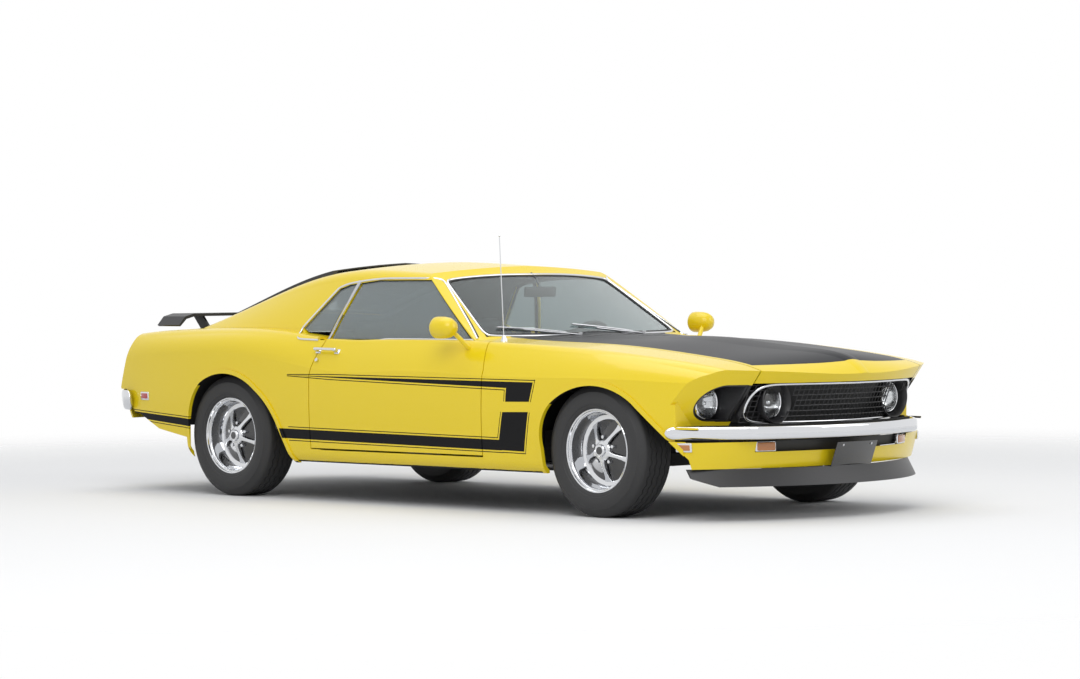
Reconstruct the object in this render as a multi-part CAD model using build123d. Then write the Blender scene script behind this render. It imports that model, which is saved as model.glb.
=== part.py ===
"""Two-door fastback muscle car, built as an assembly of its real panels, glass, seats and running gear.

Frame: millimetres, +X to the front, +Y to the car's left, +Z up. The origin is on the ground, midway
between the bumpers. Each sub-part is written to parts/NODE.step.
"""
from build123d import *
from math import cos, radians, sin, pi
import os

os.makedirs("parts", exist_ok=True)

# ---- driving dimensions -------------------------------------------------------------------------
WHEELBASE = 2743.0
TRACK = 1511.0
FRONT_AXLE_X = 1415.0
REAR_AXLE_X = FRONT_AXLE_X - WHEELBASE
HALF_LENGTH = 2380.0            # the bumpers' outermost faces
WHEEL_Y = TRACK / 2
TYRE_R = 325.0
TYRE_HALF_W = 117.0
WHEEL_ROOM = 8.0                # between a tyre and the panels round it
RIM_SEAT_R = 190.5              # bead seat of a 15 inch rim
RIM_LIP_R = 208.0
SPINDLE_R = 18.0
KINGPIN_Y = 690.0
SKIN = 14.0                     # body panel with its inner frame
HOOD_T = 26.0
ROOF_WALL = 30.0
GAP = 6.0                       # shut line of doors and lids
SEAT = 0.4                      # two pieces of one body that touch
BELT_Z = 852.0                  # window sill
SCREEN_X = 638.0                # windscreen's outer face on the centre line, 6 mm above the sill
SCREEN_SLOPE = -1.555
SCREEN_T = 6.0
SCREEN_FRAME = 10.0             # the glass lies this far inside the outer face
ROOF_SPLIT_Z = 906.0            # above it the pillars belong to the roof
DOOR_FRONT_X = 672.0
DOOR_REAR_X = -630.0
DOOR_BOTTOM_Z = 278.0
DOOR_INNER_Y = 790.0
DOOR_STEP = 24.0                # the door's inner box is smaller than its outer skin by this much
COWL_FRONT_X = 716.0
COWL_SIDE_Y = 782.0
RECESS_Z = 452.0                # above it the nose leans with the headlamps, below it with the valance
HOOD_SEAM_Y = 600.0
HOOD_LIP_Z = 658.0              # underside of the hood's front lip
LID_FRONT_X = -1790.0
LID_SEAM_Y = 612.0
FLOOR_Z = 232.0
FLOOR_T = 18.0
FLOOR_HALF_W = 738.0
NOSE_X = 2376.0                 # hood lip on the centre line, at NOSE_Z
NOSE_Z = 670.0
NOSE_SLOPE = 0.78
TAIL_X = -2205.0                # deck edge on the centre line, at TAIL_Z
TAIL_Z = 870.0
TAIL_SLOPE = 0.42
BUMPER_F_Z = (384.0, 442.0)
BUMPER_R_Z = (446.0, 556.0)

# ---- lower body: cross sections along X -----------------------------------------------------------
# Columns: X; underside corner Y; sill Y; widest point Y, Z; shoulder Y, Z; top edge Y, Z;
# hood or deck crease Y, Z; centre Z; outward bulge of the upper side.
BOTTOM_Z = 205.0
SILL_Z = 262.0
BODY_SECTIONS = [
    (-2470, 700, 745, 800, 700, 765, 822, 700, 842, 300, 860, 866, 6),
    (-2085, 790, 835, 868, 735, 822, 850, 760, 878, 300, 886, 890, 14),
    (-1685, 832, 874, 897, 758, 838, 868, 772, 896, 300, 903, 906, 18),
    (-1305, 848, 888, 908, 768, 845, 878, 778, 903, 300, 911, 914, 18),
    (-935, 853, 890, 907, 742, 845, 868, 788, 890, 300, 904, 908, 15),
    (-635, 855, 891, 906, 702, 842, 846, 804, 862, 300, 884, 888, 9),
    (-185, 855, 891, 906, 684, 842, 838, 808, 852, 300, 878, 882, 7),
    (615, 853, 890, 904, 680, 832, 830, 790, 848, 205, 872, 883, 7),
    (1215, 848, 885, 900, 677, 822, 801, 762, 824, 190, 857, 868, 8),
    (1665, 835, 872, 888, 673, 815, 766, 750, 790, 172, 837, 849, 8),
    (2015, 805, 840, 855, 662, 800, 722, 744, 752, 135, 806, 818, 6),
    (2290, 745, 780, 800, 638, 755, 665, 700, 692, 60, 766, 774, 4),
    (2430, 690, 725, 750, 590, 705, 600, 660, 612, 30, 652, 656, 4),
]


def bulged(x, start, end, bulge):
    """An arc in the plane of x between two (Y, Z) points, with its middle pushed out by the bulge."""
    (ya, za), (yb, zb) = start, end
    if bulge == 0:
        return Line((x, ya, za), (x, yb, zb))
    length = ((yb - ya) ** 2 + (zb - za) ** 2) ** 0.5
    ym = (ya + yb) / 2 + (zb - za) / length * bulge
    zm = (za + zb) / 2 - (yb - ya) / length * bulge
    return ThreePointArc((x, ya, za), (x, ym, zm), (x, yb, zb))


def closed_section(x, right, bulges):
    """The right-hand half outline, from the bottom centre to the top centre, and its mirror image."""
    edges = []
    for side in (1, -1):
        for k, bulge in enumerate(bulges):
            a, b = [(side * y, z) for y, z in (right[k], right[k + 1])]
            edges.append(bulged(x, a, b, side * bulge))
    return Wire(edges)


def body_block(inset=0.0):
    """The whole lower body as one solid, set in by a wall thickness."""
    wires = []
    for x, yb, yr, yw, zw, ys, zs, yt, zt, yp, zp, zc, upper in BODY_SECTIONS:
        c = 0.7 * inset
        right = [
            (0, BOTTOM_Z + inset), (yb - c, BOTTOM_Z + inset), (yr - inset, SILL_Z + 0.3 * inset), (yw - inset, zw),
            (ys - inset, zs - c), (yt - c, zt - inset), (yp, zp - inset), (0, zc - inset),
        ]
        wires.append(closed_section(x, right, [0, 8, 9, upper, 7, 4, 1.5]))
    return Solid.make_loft(wires, ruled=False)


# ---- upper body: cross sections along X --------------------------------------------------------------
# Columns: X; foot Y; rail Y, Z; top edge Y, Z; centre Z; bulge of side, rail and roof.
ROOF_FOOT_Z = 780.0
ROOF_SECTIONS = [
    (760, 806, 668, 1085, 600, 1132, 1152, 10, 14, 4),
    (165, 806, 672, 1138, 604, 1188, 1222, 12, 14, 6),
    (-335, 806, 664, 1160, 590, 1212, 1250, 12, 14, 6),
    (-785, 808, 640, 1140, 570, 1192, 1230, 12, 12, 6),
    (-1185, 806, 625, 1064, 556, 1104, 1140, 12, 10, 6),
    (-1585, 790, 640, 952, 566, 976, 1006, 8, 8, 5),
    (-1985, 760, 680, 836, 600, 852, 868, 4, 5, 3),
]


def roof_block(inset=0.0):
    """The roof, pillars and fastback as one solid, set in by a wall thickness."""
    wires = []
    for x, yf, yr, zr, yt, zt, zc, side, rail, top in ROOF_SECTIONS:
        c = 0.7 * inset
        right = [(0, ROOF_FOOT_Z), (yf - inset, ROOF_FOOT_Z), (yr - inset, zr - 0.3 * inset), (yt - c, zt - c), (0, zc - inset)]
        wires.append(closed_section(x, right, [0, side, rail, top]))
    return Solid.make_loft(wires, ruled=False)


# ---- plain shapes ------------------------------------------------------------------------------------
def box(x0, x1, y0, y1, z0, z1):
    return Pos((x0 + x1) / 2, (y0 + y1) / 2, (z0 + z1) / 2) * Box(abs(x1 - x0), abs(y1 - y0), abs(z1 - z0))


def side_prism(points, y0, y1):
    """A polygon of (X, Z) points run across the car."""
    face = make_face(Polyline([(x, y0, z) for x, z in points], close=True))
    return extrude(face, amount=y1 - y0, dir=(0, 1, 0))


def plan_prism(points, z0, z1):
    face = make_face(Polyline([(x, y, z0) for x, y in points], close=True))
    return extrude(face, amount=z1 - z0, dir=(0, 0, 1))


def front_prism(points, x0, x1):
    face = make_face(Polyline([(x0, y, z) for y, z in points], close=True))
    return extrude(face, amount=x1 - x0, dir=(1, 0, 0))


def rod(start, end, radius):
    line = Line(start, end)
    return extrude(Plane(origin=start, z_dir=line % 0) * Circle(radius), amount=line.length)


def mirrored(shape):
    return mirror(shape, about=Plane.XZ)


def pair(shape):
    """A right-hand piece and its mirror image, as solids that don't touch."""
    return Compound(children=[*shape.solids(), *mirrored(shape).solids()])


def group(*shapes):
    return Compound(children=[solid for shape in shapes for solid in shape.solids()])


def arc_zone(x_mid, x_side, y_side, z_at, slope, x_far, z0, z1):
    """All that lies behind (or ahead of) a wall that is an arc in plan and leans by slope in X per Z.

    The arc passes x_mid on the centre line and x_side at y_side, at the height z_at. x_far closes the
    zone on its other side."""
    half = 960.0
    sag = x_mid - x_side
    radius = (y_side ** 2 + sag ** 2) / (2 * abs(sag))
    end = x_mid - (1 if sag > 0 else -1) * (radius - (radius ** 2 - half ** 2) ** 0.5)
    shift = slope * (z0 - z_at)
    wall = ThreePointArc((end + shift, -half, z0), (x_mid + shift, 0, z0), (end + shift, half, z0))
    rest = Polyline((end + shift, half, z0), (x_far + shift, half, z0), (x_far + shift, -half, z0), (end + shift, -half, z0))
    face = make_face([wall, rest])
    rise = z1 - z0
    return extrude(face, amount=rise * (1 + slope ** 2) ** 0.5, dir=(slope, 0, 1))


def nose_zone(shift=0.0):
    return arc_zone(NOSE_X + shift, NOSE_X - 304 + shift, 800, NOSE_Z, NOSE_SLOPE, -3200, 150, 950)


def tail_zone(shift=0.0):
    upper = arc_zone(TAIL_X - shift, TAIL_X + 35 - shift, 800, TAIL_Z, TAIL_SLOPE, 3600, 150, 1300)
    lower = arc_zone(TAIL_X - 121 - shift, TAIL_X - 86 - shift, 800, 560, -0.44, 3600, 150, 1300)
    return upper & lower


def screen_zone(shift=0.0):
    """Behind the windscreen's outer face."""
    return arc_zone(SCREEN_X + shift, SCREEN_X - 115 + shift, 700, 858, SCREEN_SLOPE, -3000, 760, 1290)


# ---- the bumpers' and the valance's curves --------------------------------------------------
BUMPER_F_PLAN = [(2380, 0), (2355, 250), (2265, 540), (2205, 628), (2105, 726), (2005, 820), (1905, 896)]


def bumper_curves(rows, thick, z):
    outer = [(x, -y, z) for x, y in reversed(rows[1:])] + [(x, y, z) for x, y in rows]
    inner = [(x - thick * sx, y - thick * sy, z) for (x, y, _), (sx, sy) in zip(outer, normals(outer, rows[0][0]))]
    return outer, inner


def bumper_face(rows, thick, z):
    """Plan outline of a bumper: a curve through the rows on both sides and the same curve set in."""
    outer, inner = bumper_curves(rows, thick, z)
    a = Spline(outer)
    b = Spline(inner)
    return make_face([a, b, Line(outer[0], inner[0]), Line(outer[-1], inner[-1])])


def normals(points, x_mid):
    out = []
    sign = 1 if x_mid > 0 else -1
    for k in range(len(points)):
        ax, ay, _ = points[max(k - 1, 0)]
        bx, by, _ = points[min(k + 1, len(points) - 1)]
        dx, dy = bx - ax, by - ay
        length = (dx * dx + dy * dy) ** 0.5
        out.append((sign * abs(dy) / length, (1 if (points[k][1] > 0) else -1) * abs(dx) / length))
    return out


def valance_zone(shift):
    return arc_zone(2300 + shift, 2020 + shift, 860, 365, 0.3, -3200, 150, 480)




def ahead_of_bumper():
    """The room that the front bumper stands in, open to the front."""
    z0 = BUMPER_F_Z[0] - SEAT
    curve = bumper_curves(BUMPER_F_PLAN, 24 + 2 * SEAT, z0)[1]
    back = Spline(curve)
    x, y, _ = curve[-1]
    rest = Polyline(curve[-1], (x - 12, y, z0), (x - 12, 1100, z0), (2700, 1100, z0), (2700, -1100, z0), (x - 12, -1100, z0), (x - 12, -y, z0), curve[0])
    return extrude(make_face([back, rest]), amount=BUMPER_F_Z[1] - BUMPER_F_Z[0] + 2 * SEAT)


bumper_hollow = ahead_of_bumper()


# ---- whole blocks that every panel is cut from ---------------------------------------------------------
UNDERLINE = [(-2600, 445), (-2290, 440), (-2105, 428), (-1924, 348), (-1665, 309), (-1640, 190), (1990, 190), (2010, 292), (2600, 292), (2600, 1400), (-2600, 1400)]
underline = side_prism(UNDERLINE, -1000, 1000)
nose_corner = box(-3200, 1948, -1000, 1000, RECESS_Z, 561)
nose_upper = nose_zone() + nose_corner
nose = (nose_upper & box(-4000, 3000, -1000, 1000, RECESS_Z, 950)) + (valance_zone(4) & box(-4000, 3000, -1000, 1000, 150, RECESS_Z))
tail = tail_zone()
body_out = (Part() + body_block()) & nose & tail & underline
body_out = body_out - bumper_hollow
body_keep = (Part() + body_block(-SEAT)) & tail_zone(SEAT) & underline & box(-3000, 1990, -1000, 1000, 100, 1000)
body_in = Part() + body_block(SKIN)
body_seat = Part() + body_block(SKIN + SEAT)
body_deep = Part() + body_block(HOOD_T)
body_proud = Part() + body_block(-7.0)
roof_out = (Part() + roof_block()) & screen_zone() & tail
roof_in = (Part() + roof_block(ROOF_WALL)) & screen_zone(-38)

# ---- wheel arches ------------------------------------------------------------------------------------
# Columns: the points that the arch's outline passes, (X, Z), each arc by its start, middle and end.
FRONT_ARCH = [((1092, 150), None, (1080, 330)), ((1080, 330), (1082, 445), (1146, 548)), ((1146, 548), (1400, 642), (1680, 566)), ((1680, 566), None, (2012, 300)), ((2012, 300), None, (2012, 150))]
REAR_ARCH = [((-1632, 150), None, (-1632, 380)), ((-1632, 380), (-1604, 506), (-1516, 610)), ((-1516, 610), (-1290, 661), (-1060, 576)), ((-1060, 576), (-958, 492), (-888, 393)), ((-888, 393), None, (-760, 150))]


def arch_prism(outline, y0, y1, grow=0.0):
    edges = []
    for start, middle, end in outline:
        pts = [(p[0], y0, p[1]) for p in (start, middle, end) if p]
        edges.append(ThreePointArc(*pts) if middle else Line(*pts))
    edges.append(Line((outline[-1][2][0], y0, outline[-1][2][1]), (outline[0][0][0], y0, outline[0][0][1])))
    face = make_face(edges)
    if grow:
        face = offset(face, grow, kind=Kind.INTERSECTION)
    return extrude(face, amount=y1 - y0, dir=(0, 1, 0))


def arch_lip(outline):
    """The flared lip on the right-hand side, standing proud of the panel."""
    band = arch_prism(outline, -990, -700, 24) - arch_prism(outline, -990, -700)
    return (band & body_proud & underline) - body_in - box(-2600, 2600, -846, -600, 100, 560)


front_cut = arch_prism(FRONT_ARCH, -990, -500)
rear_cut = arch_prism(REAR_ARCH, -990, -500)

# ---- doors -------------------------------------------------------------------------------------------
DOOR_LINE = [(634, 875), (640, 833), (DOOR_FRONT_X, 709), (DOOR_FRONT_X - 10, DOOR_BOTTOM_Z), (DOOR_REAR_X, DOOR_BOTTOM_Z), (DOOR_REAR_X + 4, 664), (-567, 832), (-560, 875)]


def door_prism(shrink, y0, y1):
    face = make_face(Polyline([(x, y0, z) for x, z in DOOR_LINE], close=True))
    if shrink:
        face = offset(face, -shrink, kind=Kind.INTERSECTION)
    return extrude(face, amount=y1 - y0, dir=(0, 1, 0))


door_shell = body_out & door_prism(GAP / 2, -960, -700)
door_skin = door_shell - body_block(34)
door_box = door_shell & door_prism(GAP / 2 + DOOR_STEP, -960, -DOOR_INNER_Y) & box(-700, 700, -960, -DOOR_INNER_Y, 200, BELT_Z)
door = (door_skin & box(-700, 700, -960, -DOOR_INNER_Y, 200, BELT_Z)) + door_box

# side glass follows the inside of the pillars
SIDE_FRONT_X = 489.0            # the side window's front corner at the sill
SIDE_TOP_X = 62.0
SIDE_GLASS = [(SIDE_FRONT_X, BELT_Z), (SIDE_TOP_X, 1158), (-330, 1158), (-560, 1135), (-640, 1112), (-832, 905), (-780, BELT_Z + 6), (-610, BELT_Z)]
DIVIDER_LOW = (-585, BELT_Z)
DIVIDER_TOP = (-470, 1150)
side_window = side_prism(SIDE_GLASS, -900, -560)
pane = (Part() + roof_block(8)) - roof_block(14)


def pane_in(points, z0):
    return pane & side_prism(points, -900, -560)


def inset_polygon(points, amount):
    face = make_face(Polyline([(x, 0, z) for x, z in points], close=True))
    return offset(face, -amount, kind=Kind.INTERSECTION)


door_window_line = [(SIDE_FRONT_X - 12, 800), (SIDE_FRONT_X - 12, BELT_Z), (SIDE_TOP_X, 1158), (-330, 1158), (-472, 1145), (-590, BELT_Z), (-590, 800)]
quarter_window_line = [(-510, 1140), (-560, 1135), (-640, 1112), (-832, 905), (-786, 886), (-614, 886)]
door_glass = pane & extrude(Pos(0, -900, 0) * inset_polygon(door_window_line, 6), amount=340, dir=(0, 1, 0)) & box(-700, 600, -900, -560, BELT_Z + SEAT, 1200)
quarter_glass = pane & extrude(Pos(0, -900, 0) * inset_polygon(quarter_window_line, SEAT), amount=340, dir=(0, 1, 0))
divider = (Part() + roof_block(4) - roof_block(26)) & side_prism([(-592, BELT_Z - 6), (-617, BELT_Z - 6), (-498, 1160), (-473, 1160)], -900, -560)

# ---- body shell --------------------------------------------------------------------------------------
quarter = (body_out & box(-2600, -635 - GAP / 2 + 2, -1000, 0, 150, 1000)) - body_in - rear_cut - roof_in
quarter = quarter - box(-2600, LID_FRONT_X, -LID_SEAM_Y, 0, 600, 1000) - box(-2600, -635, -846, 0, 100, 560)
quarter = quarter - box(-2600, -635, -700, 0, 100, 700)
quarter = quarter + (arch_lip(REAR_ARCH) & box(-1800, -700, -1000, -600, 150, 900))
rear_tyre_room = rod((REAR_AXLE_X, -600, TYRE_R), (REAR_AXLE_X, -WHEEL_Y - TYRE_HALF_W - WHEEL_ROOM, TYRE_R), TYRE_R + WHEEL_ROOM)
quarter = quarter - rear_tyre_room
greenhouse = (roof_out & box(LID_FRONT_X, 760, -1000, 0, ROOF_FOOT_Z, 1400)) - roof_in - side_window
greenhouse = greenhouse - door_prism(-GAP / 2, -1000, -COWL_SIDE_Y) - box(-560, SIDE_FRONT_X, -1000, -500, 700, BELT_Z)
greenhouse = greenhouse - (body_in & box(480, 800, -1000, 1000, 700, 900))
SCREEN_HALF = [(706, 868), (604, 1138), (572, 1160), (300, 1180)]
SCREEN_OPENING = SCREEN_HALF + [(-y, z) for y, z in reversed(SCREEN_HALF)]
greenhouse = greenhouse - front_prism(SCREEN_OPENING, 20, 900)
REAR_GLASS = [(-1600, 500), (-880, 500), (-840, 470), (-840, -470), (-880, -500), (-1600, -500)]
greenhouse = greenhouse - plan_prism(REAR_GLASS, 850, 1400)
rocker = (body_out & box(-660, DOOR_FRONT_X - 8 - SEAT, -1000, -FLOOR_HALF_W - SEAT, 190, DOOR_BOTTOM_Z - GAP)) + (body_seat & box(600, 770, -1000, -FLOOR_HALF_W - SEAT, 190, DOOR_BOTTOM_Z - GAP))
b_post = (body_out & box(-760, -560, -1000, -700, 190, 846)) - door_prism(-GAP / 2, -1000, -COWL_SIDE_Y)
b_post = b_post - box(-560, 900, -1000, -600, 190, 846)
a_post = (body_seat & box(680, 770, -1000, -700, 190, 836))
cowl = ((body_out & box(500, COWL_FRONT_X, -HOOD_SEAM_Y + 2, 0, 780, 1000)) + (body_out & box(500, 668, -COWL_SIDE_Y, 0, 780, 1000))) - body_in
half_shell = quarter + greenhouse + rocker + b_post + a_post + cowl + divider
whole_shell = half_shell + mirrored(half_shell)
roof_room = box(-2600, 900, -1000, 1000, ROOF_SPLIT_Z, 1400)
roof = whole_shell & roof_room
body_shell = whole_shell - box(-2600, 900, -1000, 1000, ROOF_SPLIT_Z - SEAT, 1400)

# ---- front wings, hood, housings -------------------------------------------------------------------------
HOUSING_SIDE = [(1931, 455), (1931, 537), (1972, 622), (2031, 673), (2600, 673), (2600, 455)]
HOUSING_PLAN = [(2031, -1000), (2031, -800), (2110, -HOOD_SEAM_Y), (2600, -HOOD_SEAM_Y), (2600, -1000)]
housing_zone = side_prism(HOUSING_SIDE, -1000, -HOOD_SEAM_Y) + plan_prism(HOUSING_PLAN, 600, 800)
wing_zone = box(DOOR_FRONT_X - 60, 2600, -1000, -HOOD_SEAM_Y, 150, 1000) - door_prism(-GAP / 2, -1000, -500) - box(600, 668 + SEAT, -COWL_SIDE_Y - SEAT, -500, 780, 1000)
wing_zone = wing_zone - box(600, DOOR_FRONT_X - 8, -1000, -500, 150, DOOR_BOTTOM_Z + 2) - box(1990, 2600, -1000, -500, 150, BUMPER_F_Z[0])
wing = (body_out & wing_zone) - body_in - front_cut - housing_zone
wing = wing - box(600, 1100, -846, -500, 100, 300)
wing = wing.solids().sort_by(SortBy.VOLUME)[-1]
front_lip = (arch_lip(FRONT_ARCH) & box(1000, 2040, -1000, -600, 205, 900)) - housing_zone - bumper_hollow
wing = wing + (front_lip - box(1990, 2600, -1000, -500, 150, BUMPER_F_Z[0]))
hood_zone = plan_prism([(COWL_FRONT_X + GAP, -HOOD_SEAM_Y + GAP), (2600, -HOOD_SEAM_Y + GAP), (2600, HOOD_SEAM_Y - GAP), (COWL_FRONT_X + GAP, HOOD_SEAM_Y - GAP)], HOOD_LIP_Z, 1000)
hood = (body_out & hood_zone) - (body_deep & nose_zone(-36))
# a headlamp sits at the outer end of an opening that is round there and runs in towards the grille
LAMP_AT = (697.0, 564.0)            # Y and Z of the outer headlamp
LAMP_R = 73.0
OPENING_R = 88.0
OPENING_IN_Y = 612.0


def opening_prism(shrink, x0, x1):
    y, z = LAMP_AT
    r = OPENING_R - shrink
    inner = -(OPENING_IN_Y + shrink)
    face = make_face([
        ThreePointArc((x0, -y, z - r), (x0, -y - r, z), (x0, -y, z + r)),
        Polyline((x0, -y, z + r), (x0, inner, z + r), (x0, inner, z - r), (x0, -y, z - r))])
    return extrude(face, amount=x1 - x0, dir=(1, 0, 0))


housing = (body_out & housing_zone & box(1900, 2600, -1000, -HOOD_SEAM_Y - SEAT, 455 + SEAT, 900)) & nose_upper
housing = (housing - opening_prism(0, 1946, 2600)) + (body_seat & box(1931, 1946, -1000, -HOOD_SEAM_Y - SEAT, 455 + SEAT, 672))
housing = housing.solids().sort_by(SortBy.VOLUME)[-1]
bucket = (opening_prism(SEAT, 1946 + SEAT, 2600) - opening_prism(8, 1953, 2600)) & nose_zone(-5)
bucket = bucket.solids().sort_by(SortBy.VOLUME)[-1]
headlamp_outer = Pos(1953 + SEAT, -LAMP_AT[0], LAMP_AT[1]) * Rot(0, 90, 0) * Cylinder(LAMP_R, 30, align=(Align.CENTER, Align.CENTER, Align.MIN))

GRILLE_BARS_Z = [470, 499, 528, 557, 586, 615, 643]
GRILLE_TOP_Z = HOOD_LIP_Z - 8


def grille_zone(shift):
    return arc_zone(2336 + shift, 2336 - 140 + shift, 590, NOSE_Z, 0.45, 1500, 440, 680)


grille_slab = (grille_zone(0) - grille_zone(-26)) & box(1900, 2500, -HOOD_SEAM_Y, HOOD_SEAM_Y, 466, GRILLE_TOP_Z)
grille_back = (grille_zone(-16) - grille_zone(-26)) & box(1900, 2500, -HOOD_SEAM_Y, HOOD_SEAM_Y, 466, GRILLE_TOP_Z)
grille = grille_back
for z in GRILLE_BARS_Z:
    grille = grille + (grille_slab & box(1900, 2500, -700, 700, z, z + 7))
for k in range(-9, 10):
    grille = grille + (grille_slab & box(1900, 2500, 62 * k - 3.5, 62 * k + 3.5, 466, GRILLE_TOP_Z))
lamp_hole = Pos(2000, -440, 565) * Rot(0, 90, 0) * Cylinder(82, 300, align=(Align.CENTER, Align.CENTER, Align.MIN))
grille = grille - lamp_hole - mirrored(lamp_hole)
lamp_inner = Pos(2090, -440, 565) * Rot(0, 90, 0) * Cylinder(81.6, 72, align=(Align.CENTER, Align.CENTER, Align.MIN))

# ---- front end below the grille ---------------------------------------------------------------------------
bumper_front = extrude(bumper_face(BUMPER_F_PLAN, 24, BUMPER_F_Z[0]), amount=BUMPER_F_Z[1] - BUMPER_F_Z[0])
TIP_CUT = [(1890, 460), (2030, 460), (1990, 436), (1890, 418)]
for tip in (TIP_CUT, [(x, 826 - z) for x, z in TIP_CUT]):
    bumper_front = bumper_front - side_prism(tip, -1000, 1000)
BUMPER_R_PLAN = [(-2380, 0), (-2374, 300), (-2352, 600), (-2325, 740), (-2285, 830), (-2230, 872), (-2150, 890)]
bumper_rear = extrude(bumper_face(BUMPER_R_PLAN, 22, BUMPER_R_Z[0]), amount=BUMPER_R_Z[1] - BUMPER_R_Z[0]) - body_keep


VALANCE_TOP_Z = BUMPER_F_Z[0] - 4
SLOT_HALF_W = 560.0             # the air slot and the turn signals under the bumper
SLOT_Z = 330.0
valance_skin = ((Part() + body_block()) - body_in) & box(1990 + SEAT, 2200, -1000, 1000, 252, VALANCE_TOP_Z)
valance_skin = valance_skin - box(1900, 2300, -800, 800, 200, 400)
valance_front = (((valance_zone(0) - valance_zone(-14)) & body_block() & box(1990 + SEAT, 2500, -1000, 1000, 252, VALANCE_TOP_Z)) + (valance_skin & valance_zone(0))) - front_cut - mirrored(front_cut)
valance_front = valance_front - box(2000, 2500, -SLOT_HALF_W, SLOT_HALF_W, SLOT_Z, 400)


def spoiler_zone(shift):
    return arc_zone(2310 + shift, 1985 + shift, 820, 250, -0.65, 1200, 160, 256)


chin_spoiler = (spoiler_zone(0) - spoiler_zone(-10)) & box(1930, 2500, -822, 822, 168, 252 - SEAT)
chin_spoiler = chin_spoiler - side_prism([(1900, 150), (1900, 236), (1960, 226), (2110, 168), (2110, 150)], -900, 900)

# ---- tail ---------------------------------------------------------------------------------------------
tail_skin = tail - tail_zone(-16)
tail_panel = (tail_skin & body_seat & box(-2600, -1900, -830, 830, 572, 856)) 
valance_rear = (tail_skin & body_seat & box(-2600, -1900, -830, 830, 400, 572 - SEAT))
LAMPS_Y = [492, 590, 688]
lamp_band = tail_zone(12) - tail_zone(SEAT)
tail_lamps = group(*[lamp_band & box(-2600, -1900, s * y, s * (y + 78), 628, 792) for y in LAMPS_Y for s in (1, -1)])
lid_zone = plan_prism([(LID_FRONT_X - GAP, -LID_SEAM_Y + GAP), (-2600, -LID_SEAM_Y + GAP), (-2600, LID_SEAM_Y - GAP), (LID_FRONT_X - GAP, LID_SEAM_Y - GAP)], 856 + GAP, 1100)
lid_out = (body_out + (roof_out & box(-2100, -1700, -1000, 1000, 800, 1000)))
trunk_lid = (lid_out & lid_zone) - ((Part() + body_block(HOOD_T)) & box(-2600, -1000, -1000, 1000, 100, 1000)) 

WING_HALF = [(0, 978), (545, 978), (610, 962), (655, 914), (645, 907), (601, 947), (541, 962), (0, 962)]
wing_blade = front_prism([(y, z) for y, z in WING_HALF] + [(-y, z) for y, z in reversed(WING_HALF[1:-1])], -2190, -2000)
wing_post = side_prism([(-2010, 840), (-1930, 840), (-2040, 963), (-2120, 963)], -452, -438)
rear_wing = wing_blade + ((wing_post + mirrored(wing_post)) - (Part() + body_block(-SEAT)) - (Part() + roof_block(-SEAT)))

# ---- glass -------------------------------------------------------------------------------------------------
screen_edge = [(y - SEAT, z - (SEAT if z > 900 else -SEAT)) for y, z in SCREEN_HALF]
screen_sheet = screen_zone(-SCREEN_FRAME) - screen_zone(-SCREEN_FRAME - SCREEN_T)
screen_sheet = screen_sheet & front_prism(screen_edge + [(-y, z) for y, z in reversed(screen_edge)], 20, 900)
windshield = screen_sheet - body_block(-SEAT)
rear_window = ((Part() + roof_block(16)) - roof_block(22)) & plan_prism([(-1600 + SEAT, 500 - SEAT), (-880, 500 - SEAT), (-840 - SEAT, 470), (-840 - SEAT, -470), (-880, -500 + SEAT), (-1600 + SEAT, -500 + SEAT)], 850, 1400)
LOUVRES = 9
LOUVRE_W = 80.0
LOUVRE_RISE = 30.0                  # the louvres' top above the glass's frame
LOUVRE_T = 8.0
LOUVRE_FRONT_X = -850.0
LOUVRE_REAR_X = -1640.0
louvre_top = Part() + roof_block(-LOUVRE_RISE)
louvre_zone = louvre_top - roof_block(-SEAT)
louvre_sheet = louvre_top - roof_block(-LOUVRE_RISE + LOUVRE_T)
window_louvres = louvre_zone & (box(LOUVRE_REAR_X, LOUVRE_FRONT_X, 500, 530, 850, 1400) + box(LOUVRE_REAR_X, LOUVRE_FRONT_X, -530, -500, 850, 1400))
louvre_step = (LOUVRE_FRONT_X - LOUVRE_REAR_X - LOUVRE_W) / (LOUVRES - 1)
for k in range(LOUVRES):
    x = LOUVRE_FRONT_X - k * louvre_step
    window_louvres = window_louvres + (louvre_sheet & box(x - LOUVRE_W, x, -501, 501, 850, 1400))

# ---- floor, frame and tubs -----------------------------------------------------------------------------------
FLOOR_TOP = [(652, 250), (-560, 250), (-800, 420), (-1000, 470), (-1650, 520), (-2150, 520)]
floor_line = FLOOR_TOP + [(x, z - FLOOR_T) for x, z in reversed(FLOOR_TOP)]
floor_front = side_prism(floor_line, -FLOOR_HALF_W, FLOOR_HALF_W) & (box(-556, 660, -740, 740, 200, 700) + box(-700, -550, -699.6, 699.6, 200, 700))
floor_rear = side_prism(floor_line, -545 + SEAT, 545 - SEAT) & box(-2200, -690, -740, 740, 200, 700)
firewall = box(640, 652, -690, 690, 240, 832)
tunnel = box(-812, 646, -150, 150, 240, 430) - box(-900, 700, -138, 138, 200, 418)
floor_pan = (floor_front + floor_rear + firewall - box(-800, 700, -138, 138, 200, 418)) + tunnel


def tub(y0, y1):
    ring = Pos(REAR_AXLE_X, 0, 330) * Rot(90, 0, 0) * (Cylinder(392, 2000) - Cylinder(380, 2000))
    shell = ring & box(-1800, -850, y0, y1, 372, 800)
    wall = (Pos(REAR_AXLE_X, 0, 330) * Rot(90, 0, 0) * Cylinder(392, 2000)) & box(-1800, -850, y1 - 12, y1, 372, 800)
    return shell + wall


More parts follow.
